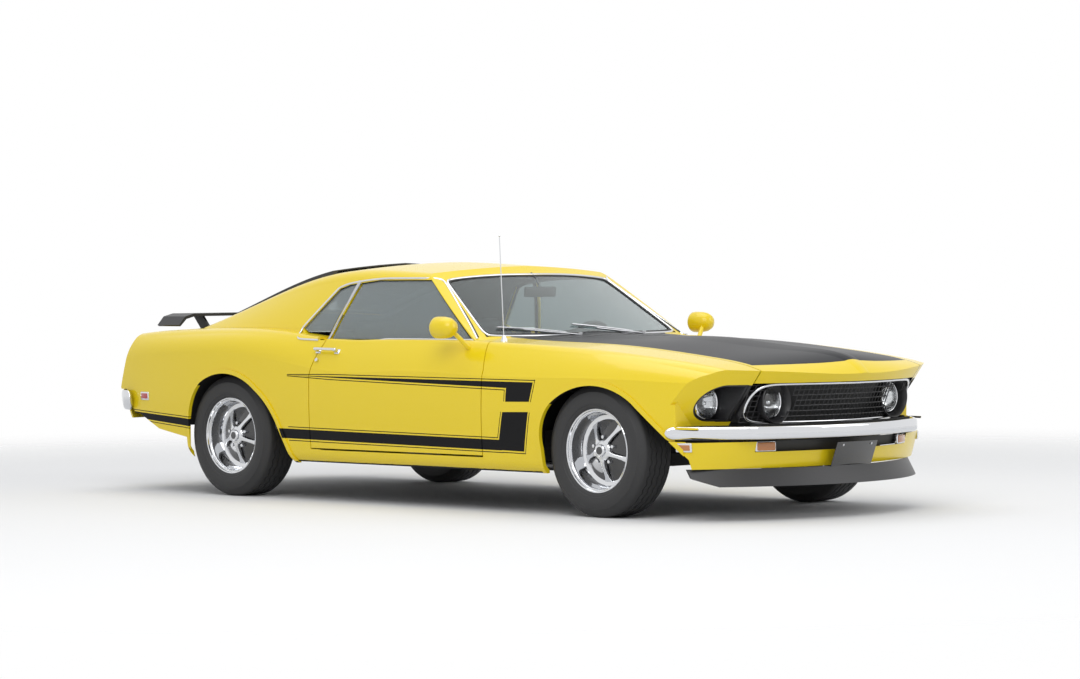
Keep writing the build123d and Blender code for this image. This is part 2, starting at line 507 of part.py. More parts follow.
wheel_tub = tub(-860, -545) & (Part() + body_block(SKIN + SEAT))
wheel_tubs = pair(wheel_tub)
APRON = [(960, 300), (960, 800), (1930, 745), (1930, 300)]
apron = side_prism(APRON, -452, -440)
rail = box(652 + SEAT, 2040, -440, -380, 300, 390)
tower = (box(1330, 1500, -600, -452, 690, 702)) + box(1330, 1342, -600, -452, 560, 700) + box(1488, 1500, -600, -452, 560, 700)
bracket = box(2040, 2380, -425, -395, 385, 425)
radiator_wall = box(1985, 2000, -590, 0, 300, 740)
half_frame = (apron + rail + bracket + radiator_wall + box(960, 985, -600, -440, 690, 800))
front_frame = (half_frame + mirrored(half_frame)) - bumper_hollow
engine = box(1010, 1640, -215, 215, 300, 770)
gearbox = box(470, 1010 - SEAT, -118, 118, 225, 405)
driveshaft = rod((470 - SEAT, 0, 315), (REAR_AXLE_X + 120 + SEAT, 0, 325), 38)
crossmember = box(1360, 1470, -379.6, 379.6, 232, 299.6)

# ---- suspension and running gear ---------------------------------------------------------------------------------
KINGPIN_R = 16.0
EYE_R = 28.0


def arm(points, z0, z1):
    """A control arm in plan, with an eye that the kingpin turns in."""
    eye = rod((FRONT_AXLE_X, -KINGPIN_Y, z0), (FRONT_AXLE_X, -KINGPIN_Y, z1), EYE_R)
    return plan_prism(points, z0, z1) + eye - rod((FRONT_AXLE_X, -KINGPIN_Y, z0 - 1), (FRONT_AXLE_X, -KINGPIN_Y, z1 + 1), KINGPIN_R + SEAT)


arm_low = arm([(1330, -380), (1500, -380), (1440, -672), (1390, -672)], 236, 254)
arm_up = arm([(1350, -453), (1480, -453), (1435, -672), (1395, -672)], 470, 486)
front_suspension = group(crossmember + arm_low + mirrored(arm_low), arm_up, mirrored(arm_up))
upright = rod((FRONT_AXLE_X, -KINGPIN_Y, 230), (FRONT_AXLE_X, -KINGPIN_Y, 492), KINGPIN_R)
spindle = rod((FRONT_AXLE_X, -KINGPIN_Y, TYRE_R), (FRONT_AXLE_X, -820, TYRE_R), SPINDLE_R)
disc = Pos(FRONT_AXLE_X, -740, TYRE_R) * Rot(90, 0, 0) * Cylinder(140, 14)
knuckle = upright + spindle + disc
axle_tube = rod((REAR_AXLE_X, -820, TYRE_R), (REAR_AXLE_X, 820, TYRE_R), SPINDLE_R) + rod((REAR_AXLE_X, -712, TYRE_R), (REAR_AXLE_X, 712, TYRE_R), 38)
rear_axle = axle_tube + (Pos(REAR_AXLE_X, 0, TYRE_R) * Sphere(120)) + rod((REAR_AXLE_X, -724, TYRE_R), (REAR_AXLE_X, -704, TYRE_R), 130) + rod((REAR_AXLE_X, 704, TYRE_R), (REAR_AXLE_X, 724, TYRE_R), 130)
leaf = side_prism([(-700, 300), (REAR_AXLE_X, 262), (-1990, 340), (-1990, 352), (REAR_AXLE_X, 286.6), (-700, 312)], -530, -470)
leaf = leaf + box(-720, -700, -530, -470, 290, 330.5) + box(-1990, -1975, -530, -470, 345, 501.6)
leaf_springs = pair(leaf)
fuel_tank = box(-2140, -1720, -380, 380, 330, 501.6)
exhaust = pair(rod((640, -300, 204), (-1040, -300, 204), 27.6))


def wheel_parts():
    """Tyre and rim for the right-hand side, centred on the axle at the origin, outer face towards -Y."""
    w = TYRE_HALF_W
    profile = make_face([
        Polyline((RIM_SEAT_R + 0.5, -88.5), (RIM_LIP_R + 0.5, -90), (RIM_LIP_R + 0.5, -98), (RIM_LIP_R + 10, -106)),
        ThreePointArc((RIM_LIP_R + 10, -106), (262, -w), (300, -101)),
        ThreePointArc((300, -101), (316, -95), (TYRE_R - 3, -80)),
        ThreePointArc((TYRE_R - 3, -80), (TYRE_R, 0), (TYRE_R - 3, 80)),
        ThreePointArc((TYRE_R - 3, 80), (316, 95), (300, 101)),
        ThreePointArc((300, 101), (262, w), (RIM_LIP_R + 10, 106)),
        Polyline((RIM_LIP_R + 10, 106), (RIM_LIP_R + 0.5, 98), (RIM_LIP_R + 0.5, 90), (RIM_SEAT_R + 0.5, 88.5)),
        Line((RIM_SEAT_R + 0.5, 88.5), (RIM_SEAT_R + 0.5, -88.5)),
    ])
    tyre = revolve(profile, Axis.Y)
    barrel = make_face(Polyline([
        (RIM_LIP_R, -96), (RIM_LIP_R, -92), (RIM_SEAT_R, -89.5), (RIM_SEAT_R, 89.5), (RIM_LIP_R, 92), (RIM_LIP_R, 96),
        (182, 96), (182, -40), (176, -70), (196, -96)], close=True))
    dish = make_face(Polyline([
        (SPINDLE_R + 0.1, -60), (62, -66), (110, -58), (178, -72), (178, -40), (110, -34), (62, -34), (SPINDLE_R + 0.1, -34)], close=True))
    rim = revolve(barrel, Axis.Y) + revolve(dish, Axis.Y)
    for k in range(5):
        hole = extrude(Plane(origin=(0, -90, 0), x_dir=(1, 0, 0), z_dir=(0, 1, 0)) * make_face(Polyline([(78, 14), (150, 62), (164, 40), (164, -40), (150, -62), (78, -14)], close=True)), amount=70)
        rim = rim - Rot(0, 36 + 72 * k, 0) * hole
    cap = rod((0, -56, 0), (0, -80, 0), 33) - rod((0, -50, 0), (0, -70, 0), SPINDLE_R + 0.1)
    rim = rim + cap
    return tyre, rim


# ---- interior ---------------------------------------------------------------------------------------------------
DASH = [(640 - SEAT, 560), (640 - SEAT, 800), (560, 806), (470, 804), (430, 780), (450, 700), (500, 620), (560, 560)]
dashboard = side_prism(DASH, -700, 700) & box(300, 700, -695, 695, 500, 838)
SEAT_SIDE = [(60, 330), (70, 420), (40, 446), (-420, 420), (-600, 800), (-640, 815), (-700, 790), (-640, 560), (-560, 330)]
front_seat = side_prism(SEAT_SIDE, -620, -180) + box(-480, 20, -560, -240, 250 + SEAT, 340)
headrest = box(-700, -630, -480, -320, 780, 890)
front_seat = front_seat + headrest
rear_seat = side_prism([(-770, 432), (-770, 520), (-960, 500), (-1100, 790), (-1180, 800), (-1180, 520), (-1010, 480), (-880, 450)], -530, 530)
console = box(-330, 400, -90, 90, 430 + SEAT, 520)
STEER_ANGLE = 22.0
WHEEL_CENTRE = (150, 370, 745)
column_dir = (cos(radians(STEER_ANGLE)), 0, -sin(radians(STEER_ANGLE)))


def along_column(distance):
    return tuple(c + distance * d for c, d in zip(WHEEL_CENTRE, column_dir))


steering_column = rod(along_column(40), along_column(400), 26)
dashboard = dashboard - rod(along_column(100), along_column(500), 26 + SEAT)
steer_plane = Plane(origin=WHEEL_CENTRE, x_dir=(0, 1, 0), z_dir=column_dir)
steer_rim = steer_plane * Torus(190, 13)
steer_spokes = steer_plane * (Box(378, 34, 8) + Cylinder(38, 40)) + rod(along_column(0), along_column(40 - SEAT), 14)
steering_wheel = steer_rim + steer_spokes

# ---- small outside pieces ------------------------------------------------------------------------------------------
MIRROR_R = 46.0
mirror_side = make_face([
    Polyline((526, 0), (402, 0), (402, MIRROR_R)),
    ThreePointArc((402, MIRROR_R), (480, 36), (526, 0))])
mirror_head = Pos(0, -958, 919) * revolve(mirror_side, Axis.X)
mirror_stem = rod((530, -815, 800), (500, -945, 905), 11)
door_mirror = mirror_head + mirror_stem - body_block(-SEAT)
antenna = rod((663, -735, 800), (655, -757, 1377), 2.5) - body_block(-SEAT)

NODES = {}
NODES["body_shell"] = body_shell
NODES["roof"] = roof
NODES["front_wings"] = pair(wing)
NODES["headlamp_housings"] = pair(housing)
NODES["headlamp_buckets"] = pair(bucket)
NODES["hood"] = hood
NODES["trunk_lid"] = trunk_lid
NODES["rear_wing"] = rear_wing
NODES["door_left"] = mirrored(door)
NODES["door_right"] = door
NODES["door_glass_left"] = mirrored(door_glass)
NODES["door_glass_right"] = door_glass
NODES["door_mirror_left"] = mirrored(door_mirror)
NODES["door_mirror_right"] = door_mirror
NODES["quarter_glass"] = pair(quarter_glass)
NODES["windshield"] = windshield
NODES["rear_window"] = rear_window
NODES["window_louvres"] = window_louvres
NODES["grille"] = grille
NODES["headlamps"] = group(headlamp_outer, mirrored(headlamp_outer), lamp_inner, mirrored(lamp_inner))
NODES["bumper_front"] = bumper_front
NODES["bumper_rear"] = bumper_rear
NODES["valance_front"] = valance_front
NODES["chin_spoiler"] = chin_spoiler
NODES["tail_panel"] = tail_panel
NODES["tail_lamps"] = tail_lamps
NODES["valance_rear"] = valance_rear
NODES["floor_pan"] = floor_pan
NODES["wheel_tubs"] = wheel_tubs
NODES["front_frame"] = front_frame
NODES["engine"] = engine
NODES["gearbox"] = gearbox
NODES["driveshaft"] = driveshaft
NODES["front_suspension"] = front_suspension
NODES["knuckle_left"] = mirrored(knuckle)
NODES["knuckle_right"] = knuckle
NODES["rear_axle"] = rear_axle
NODES["leaf_springs"] = leaf_springs
NODES["fuel_tank"] = fuel_tank
NODES["exhaust"] = exhaust
NODES["dashboard"] = dashboard
NODES["steering_column"] = steering_column
NODES["steering_wheel"] = steering_wheel
NODES["seats_front"] = pair(front_seat)
NODES["seat_rear"] = rear_seat
NODES["console"] = console
NODES["antenna"] = antenna
tyre, rim = wheel_parts()
for end, x in (("front", FRONT_AXLE_X), ("rear", REAR_AXLE_X)):
    for side, name in ((-1, "right"), (1, "left")):
        place = Pos(x, side * WHEEL_Y, TYRE_R)
        for kind, shape in (("tyre", tyre), ("rim", rim)):
            NODES[f"{kind}_{end}_{name}"] = place * (shape if side < 0 else mirrored(shape))

for name, shape in NODES.items():
    export_step(shape, f"parts/{name}.step")
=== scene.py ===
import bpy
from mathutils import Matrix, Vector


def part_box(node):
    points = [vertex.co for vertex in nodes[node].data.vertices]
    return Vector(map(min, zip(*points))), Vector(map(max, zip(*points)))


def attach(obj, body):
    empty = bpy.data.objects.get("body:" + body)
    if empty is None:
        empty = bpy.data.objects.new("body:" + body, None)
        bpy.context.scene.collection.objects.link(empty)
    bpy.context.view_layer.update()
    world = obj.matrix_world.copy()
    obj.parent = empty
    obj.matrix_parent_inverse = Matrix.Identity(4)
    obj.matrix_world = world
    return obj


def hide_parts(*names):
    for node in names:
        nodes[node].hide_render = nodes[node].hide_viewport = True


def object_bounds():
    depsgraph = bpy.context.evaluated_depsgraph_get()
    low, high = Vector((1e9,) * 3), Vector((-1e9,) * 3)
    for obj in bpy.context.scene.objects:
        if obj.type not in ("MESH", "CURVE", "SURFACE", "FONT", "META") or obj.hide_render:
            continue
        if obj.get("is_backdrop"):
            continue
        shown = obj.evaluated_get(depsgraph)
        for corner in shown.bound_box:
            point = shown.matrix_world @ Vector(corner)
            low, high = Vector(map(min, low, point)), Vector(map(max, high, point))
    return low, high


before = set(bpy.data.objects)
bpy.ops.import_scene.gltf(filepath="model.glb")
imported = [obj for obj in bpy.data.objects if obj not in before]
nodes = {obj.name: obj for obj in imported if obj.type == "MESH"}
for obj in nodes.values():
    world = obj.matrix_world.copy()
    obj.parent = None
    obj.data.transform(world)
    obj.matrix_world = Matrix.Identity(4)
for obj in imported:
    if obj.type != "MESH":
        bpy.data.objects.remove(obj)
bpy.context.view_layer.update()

# %% [markdown]
# # A fastback muscle car, dressed piece by piece
# The loaded frame holds the car's real panels and running gear as plain solids, each one riding on
# the body that carries it. This lesson gives them paint, chrome, glass and rubber, and adds the
# pieces that are too fine for the solids: trim, lamps, wheels, wipers and seats.

# %% Bring in the modules
import math

import bpy
from mathutils import Matrix, Vector

# %% [markdown]
# ## Small helpers
# Every piece goes through the same steps by hand: deselect all, add a primitive, shape it, apply its
# place, give it a finish and let it ride on a body. A few short helpers keep those steps in one place.


# %% Helpers for starting and finishing a piece
def clear_selection():
    if bpy.context.object and bpy.context.object.mode != "OBJECT":
        bpy.ops.object.mode_set(mode="OBJECT")
    bpy.ops.object.select_all(action="DESELECT")


def finish_piece(piece, name, body, finish, slot, angle=35):
    """Applies the place, names the piece, smooths it, gives its finish and its body."""
    clear_selection()
    bpy.context.view_layer.objects.active = piece
    piece.select_set(True)
    if piece.type == "CURVE":
        bpy.ops.object.convert(target="MESH")
    for modifier in list(piece.modifiers):
        bpy.ops.object.modifier_apply(modifier=modifier.name)
    bpy.ops.object.transform_apply(location=True, rotation=True, scale=True)
    if angle:
        bpy.ops.object.shade_smooth_by_angle(angle=math.radians(angle))
    piece.name = name
    piece.data.name = name
    if finish:
        piece.data.materials.clear()
        piece.data.materials.append(finish)
    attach(piece, body)
    return piece


def join_pieces(pieces, name):
    clear_selection()
    for piece in pieces:
        piece.select_set(True)
    bpy.context.view_layer.objects.active = pieces[0]
    bpy.ops.object.join()
    pieces[0].name = name
    return pieces[0]


def mirrored_copy(piece, name):
    """The same piece on the other side of the car, with its faces turned outward again."""
    clear_selection()
    piece.select_set(True)
    bpy.context.view_layer.objects.active = piece
    bpy.ops.object.duplicate()
    twin = bpy.context.object
    twin.data.transform(Matrix.Scale(-1, 4, Vector((0, 1, 0))))
    twin.data.flip_normals()
    twin.name = name
    twin.data.name = name
    return twin


# %% [markdown]
# ## Finishes
# A painted steel panel shows a coloured base under a clear coat, with a little orange peel. Chrome,
# glass and rubber differ from it in a few sockets only, so one helper starts them all, and each
# finish then gets its own colour change and bump from noise in object coordinates.


# %% A helper that starts a finish with fine noise in its roughness and surface
def start_finish(
    name, colour, roughness, metal=0.0, coat=0.0, grain=0.0, grain_scale=800.0, spread=0.04, specular=None
):
    finish = bpy.data.materials.new(name)
    finish.use_nodes = True
    tree = finish.node_tree
    shader = tree.nodes["Principled BSDF"]
    shader.inputs["Base Color"].default_value = (*colour, 1.0)
    shader.inputs["Metallic"].default_value = metal
    shader.inputs["Roughness"].default_value = roughness
    shader.inputs["Coat Weight"].default_value = coat
    shader.inputs["Coat Roughness"].default_value = 0.03
    if specular is not None:
        shader.inputs["Specular IOR Level"].default_value = specular
    place = tree.nodes.new("ShaderNodeTexCoord")
    noise = tree.nodes.new("ShaderNodeTexNoise")
    noise.inputs["Scale"].default_value = grain_scale
    noise.inputs["Detail"].default_value = 3.0
    tree.links.new(place.outputs["Object"], noise.inputs["Vector"])
    if spread:
        spread_map = tree.nodes.new("ShaderNodeMapRange")
        spread_map.inputs["To Min"].default_value = max(0.0, roughness - spread)
        spread_map.inputs["To Max"].default_value = min(1.0, roughness + spread)
        tree.links.new(noise.outputs["Fac"], spread_map.inputs["Value"])
        tree.links.new(spread_map.outputs["Result"], shader.inputs["Roughness"])
    if grain:
        bump = tree.nodes.new("ShaderNodeBump")
        bump.inputs["Strength"].default_value = grain
        bump.inputs["Distance"].default_value = 0.0006
        tree.links.new(noise.outputs["Fac"], bump.inputs["Height"])
        tree.links.new(bump.outputs["Normal"], shader.inputs["Normal"])
    return finish


def math_node(tree, operation, first, second=None):
    node = tree.nodes.new("ShaderNodeMath")
    node.operation = operation
    for socket, value in zip(node.inputs, (first, second)):
        if value is None:
            continue
        if isinstance(value, (int, float)):
            socket.default_value = value
        else:
            tree.links.new(value, socket)
    return node.outputs[0]


# %% [markdown]
# ## The yellow paint with its side stripe
# The stripe is shaped like a letter C that opens to the rear: a long spear under the shoulder, a block
# behind the front wheel that is parted by a gap, and a band along the sill, with a thin line round all
# of it. A sheet of decals could be cut out and laid on the panels, but paint needs no extra surface. So
# it is painted by distance: each part is a convex outline, the distance to the nearest one is worked
# out from the object's own X and Z, and the paint turns black where that distance is below nothing.

# %% Stripe outlines in metres, as (X, Z) corners that go round clockwise
STRIPE = {
    "spear": [(-0.800, 0.6605), (1.030, 0.652), (1.022, 0.618), (0.852, 0.621)],
    "block_top": [(0.845, 0.640), (1.030, 0.652), (1.004, 0.556), (0.838, 0.553)],
    "block_low": [(0.817, 0.502), (0.996, 0.506), (0.958, 0.309), (0.775, 0.312)],
    "sill_band": [(-0.870, 0.3785), (0.800, 0.363), (0.800, 0.310), (-0.850, 0.327)],
    "tail_band": [(-2.200, 0.440), (-1.600, 0.408), (-1.590, 0.366), (-2.200, 0.408)],
}


def distance_to_outline(tree, x, z, corners):
    """Signed distance, below nothing inside: the largest of the distances to the outline's sides."""
    result = None
    for (xa, za), (xb, zb) in zip(corners, corners[1:] + corners[:1]):
        length = math.hypot(xb - xa, zb - za)
        nx, nz = -(zb - za) / length, (xb - xa) / length
        along = math_node(
            tree, "ADD", math_node(tree, "MULTIPLY", x, nx), math_node(tree, "MULTIPLY", z, nz)
        )
        side = math_node(tree, "SUBTRACT", along, nx * xa + nz * za)
        result = side if result is None else math_node(tree, "MAXIMUM", result, side)
    return result


YELLOW = (0.80, 0.60, 0.010)


def paint_black_where(tree, shader, mask, black=(0.012, 0.012, 0.013)):
    """Yellow turns black where the mask is 1, and loses most of its clear coat and shine there."""
    mix = tree.nodes.new("ShaderNodeMix")
    mix.data_type = "RGBA"
    mix.inputs["A"].default_value = (*YELLOW, 1.0)
    mix.inputs["B"].default_value = (*black, 1.0)
    tree.links.new(mask, mix.inputs["Factor"])
    tree.links.new(mix.outputs["Result"], shader.inputs["Base Color"])
    shine = math_node(tree, "SUBTRACT", 1.0, math_node(tree, "MULTIPLY", mask, 0.85))
    coat = shader.inputs["Coat Weight"].default_value
    tree.links.new(math_node(tree, "MULTIPLY", shine, coat), shader.inputs["Coat Weight"])
    tree.links.new(math_node(tree, "MULTIPLY", shine, 0.32), shader.inputs["Specular IOR Level"])


LINE_GAP, LINE_WIDE = 0.0078, 0.0045
SPEAR_TIP_X = -0.86
BREAK_Z, BREAK_HALF = 0.529, 0.0255
BLACK_TOP_HALF = 0.574


def less(tree, value, limit):
    return math_node(tree, "LESS_THAN", value, limit)


def more(tree, value, limit):
    return math_node(tree, "GREATER_THAN", value, limit)


def both(tree, first, second):
    return math_node(tree, "MULTIPLY", first, second)


def either(tree, first, second):
    return math_node(tree, "MAXIMUM", first, second)


def split_place(tree):
    """The object's own X, Y and Z as three sockets."""
    split = tree.nodes.new("ShaderNodeSeparateXYZ")
    tree.links.new(tree.nodes["Texture Coordinate"].outputs["Object"], split.inputs[0])
    return tuple(split.outputs)


def inward_trim_and_down_shade_mask(tree, y):
    """1 on faces that look into the car, black like the cabin trim, and on faces that look down, which
    are painted black as painted shade.
    """
    geometry = tree.nodes.new("ShaderNodeNewGeometry")
    normal = tree.nodes.new("ShaderNodeSeparateXYZ")
    tree.links.new(geometry.outputs["Normal"], normal.inputs[0])
    inward = less(tree, both(tree, y, normal.outputs["Y"]), -0.12)
    # Faces that look down are painted black as painted shade.
    down_shade = less(tree, normal.outputs["Z"], -0.75)
    return either(tree, inward, down_shade)


def stripe_mask(tree, x, y, z):
    """1 on the stripe and its thin line, which runs closer to the spear towards the spear's tip."""
    distance = None
    for corners in STRIPE.values():
        one = distance_to_outline(tree, x, z, corners)
        distance = one if distance is None else math_node(tree, "MINIMUM", distance, one)
    gap = both(tree, math_node(tree, "SUBTRACT", x, SPEAR_TIP_X), 0.02)
    gap = math_node(tree, "MINIMUM", gap, LINE_GAP)
    gap = either(tree, gap, both(tree, less(tree, z, 0.5), LINE_GAP))
    beyond = math_node(tree, "SUBTRACT", distance, gap)
    line = both(tree, more(tree, beyond, 0.0), less(tree, beyond, LINE_WIDE))
    from_break = math_node(tree, "ABSOLUTE", math_node(tree, "SUBTRACT", z, BREAK_Z))
    line = both(tree, line, more(tree, from_break, BREAK_HALF))
    ahead_of_tip = more(tree, x, -0.80)
    tail_band = both(tree, less(tree, x, -1.59), less(tree, z, 0.50))
    line = both(tree, line, either(tree, ahead_of_tip, tail_band))
    side = more(tree, math_node(tree, "ABSOLUTE", y), 0.80)
    return both(tree, side, either(tree, less(tree, distance, 0.0), line))


def body_paint(name, stripe):
    """Yellow with black inner sides and painted shade on faces that look down. With the stripe, the cowl
    behind the hood is black too.
    """
    finish = start_finish(name, YELLOW, 0.28, coat=0.35, grain=0.04, grain_scale=420.0, spread=0.03)
    tree = finish.node_tree
    x, y, z = split_place(tree)
    # Faces that look into the car are black cabin trim; faces that look down get painted shade.
    mask = inward_trim_and_down_shade_mask(tree, y)
    if stripe:
        mask = either(tree, mask, stripe_mask(tree, x, y, z))
        cowl = both(tree, more(tree, x, 0.50), more(tree, z, 0.84))
        middle = less(tree, math_node(tree, "ABSOLUTE", y), BLACK_TOP_HALF)
        mask = either(tree, mask, both(tree, cowl, middle))
    paint_black_where(tree, tree.nodes["Principled BSDF"], mask)
    return finish


def housing_paint():
    """Yellow, but black between the lamp's opening and the grille's ring."""
    finish = body_paint("lamp housing paint", False)
    tree = finish.node_tree
    mix = tree.nodes["Mix"]
    # This mask already holds the black cabin sides and the painted shade on faces that look down.
    mask = mix.inputs["Factor"].links[0].from_socket
    _, y, z = split_place(tree)
    inboard = less(tree, math_node(tree, "ABSOLUTE", y), 0.668)
    between = both(tree, less(tree, z, 0.650), more(tree, z, 0.474))
    black = both(tree, inboard, between)
    tree.links.new(either(tree, mask, black), mix.inputs["Factor"])
    return finish


def hood_paint():
    """Black over the hood's middle, with a yellow front edge and thin yellow sides."""
    finish = start_finish("hood paint", YELLOW, 0.36, coat=0.25, grain=0.05, grain_scale=500.0)
    tree = finish.node_tree
    x, y, _ = split_place(tree)
    across = math_node(tree, "ABSOLUTE", y)
    bow = both(tree, both(tree, across, across), -0.42)
    behind = less(tree, x, math_node(tree, "ADD", bow, 2.315))
    black = both(tree, behind, less(tree, across, BLACK_TOP_HALF))
    # Faces that look down get painted shade here too, besides the black cabin sides.
    mask = either(tree, inward_trim_and_down_shade_mask(tree, y), black)
    paint_black_where(tree, tree.nodes["Principled BSDF"], mask, (0.03, 0.031, 0.034))
    return finish


striped_paint = body_paint("yellow paint with side stripe", True)
plain_paint = body_paint("yellow paint", False)
housing_finish = housing_paint()
hood_finish = hood_paint()
small_yellow = start_finish(
    "yellow paint on small pieces", YELLOW, 0.28, specular=0.32, coat=0.35, grain=0.04, grain_scale=420.0,
    spread=0.03
)
print("mixed five paints")

# %% [markdown]
# ## The other finishes
# The rear wing, the louvres and the chin spoiler are satin black, which spreads highlights instead of
# mirroring them. The bumpers are chrome plate: full metal with almost no roughness.

# %% Blacks, metals, glass, lenses and rubber
satin_black = start_finish("satin black paint", (0.018, 0.018, 0.02), 0.42, grain=0.08, grain_scale=900.0)
gloss_black = start_finish("gloss black paint", (0.01, 0.01, 0.011), 0.2, coat=1.0)
chrome = start_finish("chrome plate", (0.68, 0.69, 0.71), 0.06, metal=1.0, spread=0.02)
polished_steel = start_finish("polished steel", (0.55, 0.56, 0.58), 0.22, metal=1.0)
bare_steel = start_finish("bare steel", (0.32, 0.32, 0.33), 0.45, metal=1.0, grain=0.1, grain_scale=300.0)
underseal = start_finish("underseal", (0.02, 0.02, 0.021), 0.75, grain=0.35, grain_scale=250.0)
engine_paint = start_finish("engine enamel", (0.03, 0.07, 0.16), 0.4, grain=0.2, grain_scale=160.0)
weatherstrip = start_finish("weatherstrip rubber", (0.02, 0.02, 0.02), 0.6)
cabin_plastic = start_finish(
    "grained cabin plastic", (0.022, 0.022, 0.023), 0.55, grain=0.4, grain_scale=1400.0
)
vinyl = start_finish("pleated seat vinyl", (0.025, 0.025, 0.026), 0.45, grain=0.3, grain_scale=900.0)
tyre_rubber = start_finish("tyre rubber", (0.025, 0.025, 0.026), 0.62, grain=0.25, grain_scale=500.0)


def glass_finish(name, colour, clearness):
    """Glass that hardly bends light, so that what lies behind it keeps its shape."""
    finish = start_finish(name, colour, 0.02, spread=0.0)
    shader = finish.node_tree.nodes["Principled BSDF"]
    shader.inputs["Transmission Weight"].default_value = clearness
    shader.inputs["IOR"].default_value = 1.1
    shader.inputs["Specular IOR Level"].default_value = 0.9
    shader.inputs["Coat Weight"].default_value = 1.0
    return finish


window_glass = glass_finish("tinted window glass", (0.60, 0.70, 0.70), 0.97)
side_glass = glass_finish("tinted side glass", (0.42, 0.48, 0.49), 0.72)
lamp_glass = glass_finish("lamp glass", (0.95, 0.96, 0.96), 1.0)
red_lens = start_finish("red lens", (0.42, 0.008, 0.01), 0.15, coat=1.0, grain=0.2, grain_scale=300.0)
amber_lens = start_finish("amber lens", (0.45, 0.16, 0.03), 0.15, coat=1.0, grain=0.2, grain_scale=300.0)
print("mixed", len(bpy.data.materials), "finishes")

# %% Give each solid its finish
SATIN_PANELS = [
    "trunk_lid", "tail_panel", "headlamp_buckets", "rear_wing", "window_louvres", "chin_spoiler", "grille"
]
UNDERSIDE = [
    "floor_pan", "wheel_tubs", "front_frame", "front_suspension", "rear_axle", "leaf_springs",
    "fuel_tank", "driveshaft"
]
NODE_FINISH = [
    (striped_paint, ["body_shell", "roof", "front_wings", "door_left", "door_right"]),
    (plain_paint, ["valance_front", "valance_rear"]),
    (housing_finish, ["headlamp_housings"]),
    (small_yellow, ["door_mirror_left", "door_mirror_right"]),
    (hood_finish, ["hood"]),
    (satin_black, SATIN_PANELS),
    (chrome, ["bumper_front", "bumper_rear", "antenna"]),
    (window_glass, ["windshield", "rear_window"]),
    (side_glass, ["quarter_glass", "door_glass_left", "door_glass_right"]),
    (lamp_glass, ["headlamps"]),
    (red_lens, ["tail_lamps"]),
    (underseal, UNDERSIDE),
    (engine_paint, ["engine", "gearbox"]),
    (bare_steel, ["exhaust", "knuckle_left", "knuckle_right"]),
    (cabin_plastic, ["dashboard", "steering_column", "steering_wheel", "console"]),
    (vinyl, ["seats_front", "seat_rear"]),
    (tyre_rubber, [n for n in nodes if n.startswith("tyre_")]),
    (chrome, [n for n in nodes if n.startswith("rim_")]),
]
for finish, names in NODE_FINISH:
    for name in names:
        nodes[name].data.materials.clear()
        nodes[name].data.materials.append(finish)
print("painted", sum(len(names) for _, names in NODE_FINISH), "solids")

# %% [markdown]
# ## Wheels
# A wheel is turned on a lathe: a circle is added and pulled out ring by ring, each ring scaled to
# its radius. The styled steel rim has a deep chrome well, a black dish and five chrome spokes. One
# wheel is modelled at the origin, and each corner of the car gets its own copy.


# %% The lathe and a plain cylinder
def merge_doubles(distance):
    """In edit mode, merges points that meet and turns every face outward."""
    bpy.ops.mesh.select_all(action="SELECT")
    bpy.ops.mesh.remove_doubles(threshold=distance)
    bpy.ops.mesh.normals_make_consistent(inside=False)


def lathe(profile, segments=96, close=False):
    """Turns a profile of (radius, distance along the axle) points, which are in millimetres."""
    profile = [(radius / 1000, along / 1000) for radius, along in profile]
    clear_selection()
    radius, along = profile[0]
    bpy.ops.mesh.primitive_circle_add(
        vertices=segments, radius=radius, location=(0, along, 0), rotation=(math.pi / 2, 0, 0)
    )
    turned = bpy.context.object
    bpy.ops.object.transform_apply(location=True, rotation=True, scale=True)
    bpy.ops.object.mode_set(mode="EDIT")
    bpy.ops.mesh.select_mode(type="VERT")
    bpy.ops.mesh.select_all(action="SELECT")
    rings = profile[1:] + ([profile[0]] if close else [])
    for new_radius, new_along in rings:
        bpy.ops.mesh.extrude_region_move(TRANSFORM_OT_translate={"value": (0, new_along - along, 0)})
        factor = max(new_radius, 1e-5) / max(radius, 1e-5)
        bpy.ops.transform.resize(value=(factor, 1, factor), center_override=(0, new_along, 0))
        radius, along = new_radius, new_along
    merge_doubles(0.00005)
    bpy.ops.object.mode_set(mode="OBJECT")
    return turned


def cylinder(radius, depth, middle, sides=32, turn=(0, 0, 0)):
    """A plain cylinder along Z before it is turned."""
    clear_selection()
    bpy.ops.mesh.primitive_cylinder_add(
        vertices=sides, radius=radius, depth=depth, location=middle, rotation=turn)
    bpy.ops.object.transform_apply(location=True, rotation=True, scale=True)
    return bpy.context.object


# %% [markdown]
# ## Tyre
# A bias-ply tyre has a bulged side, a rounded shoulder and a tread of straight ribs. The grooves
# between the ribs could be cut with booleans, but they are rings, so they are part of the turned
# profile. Afterwards the points near them are pushed sideways in turn, which makes the zigzag.

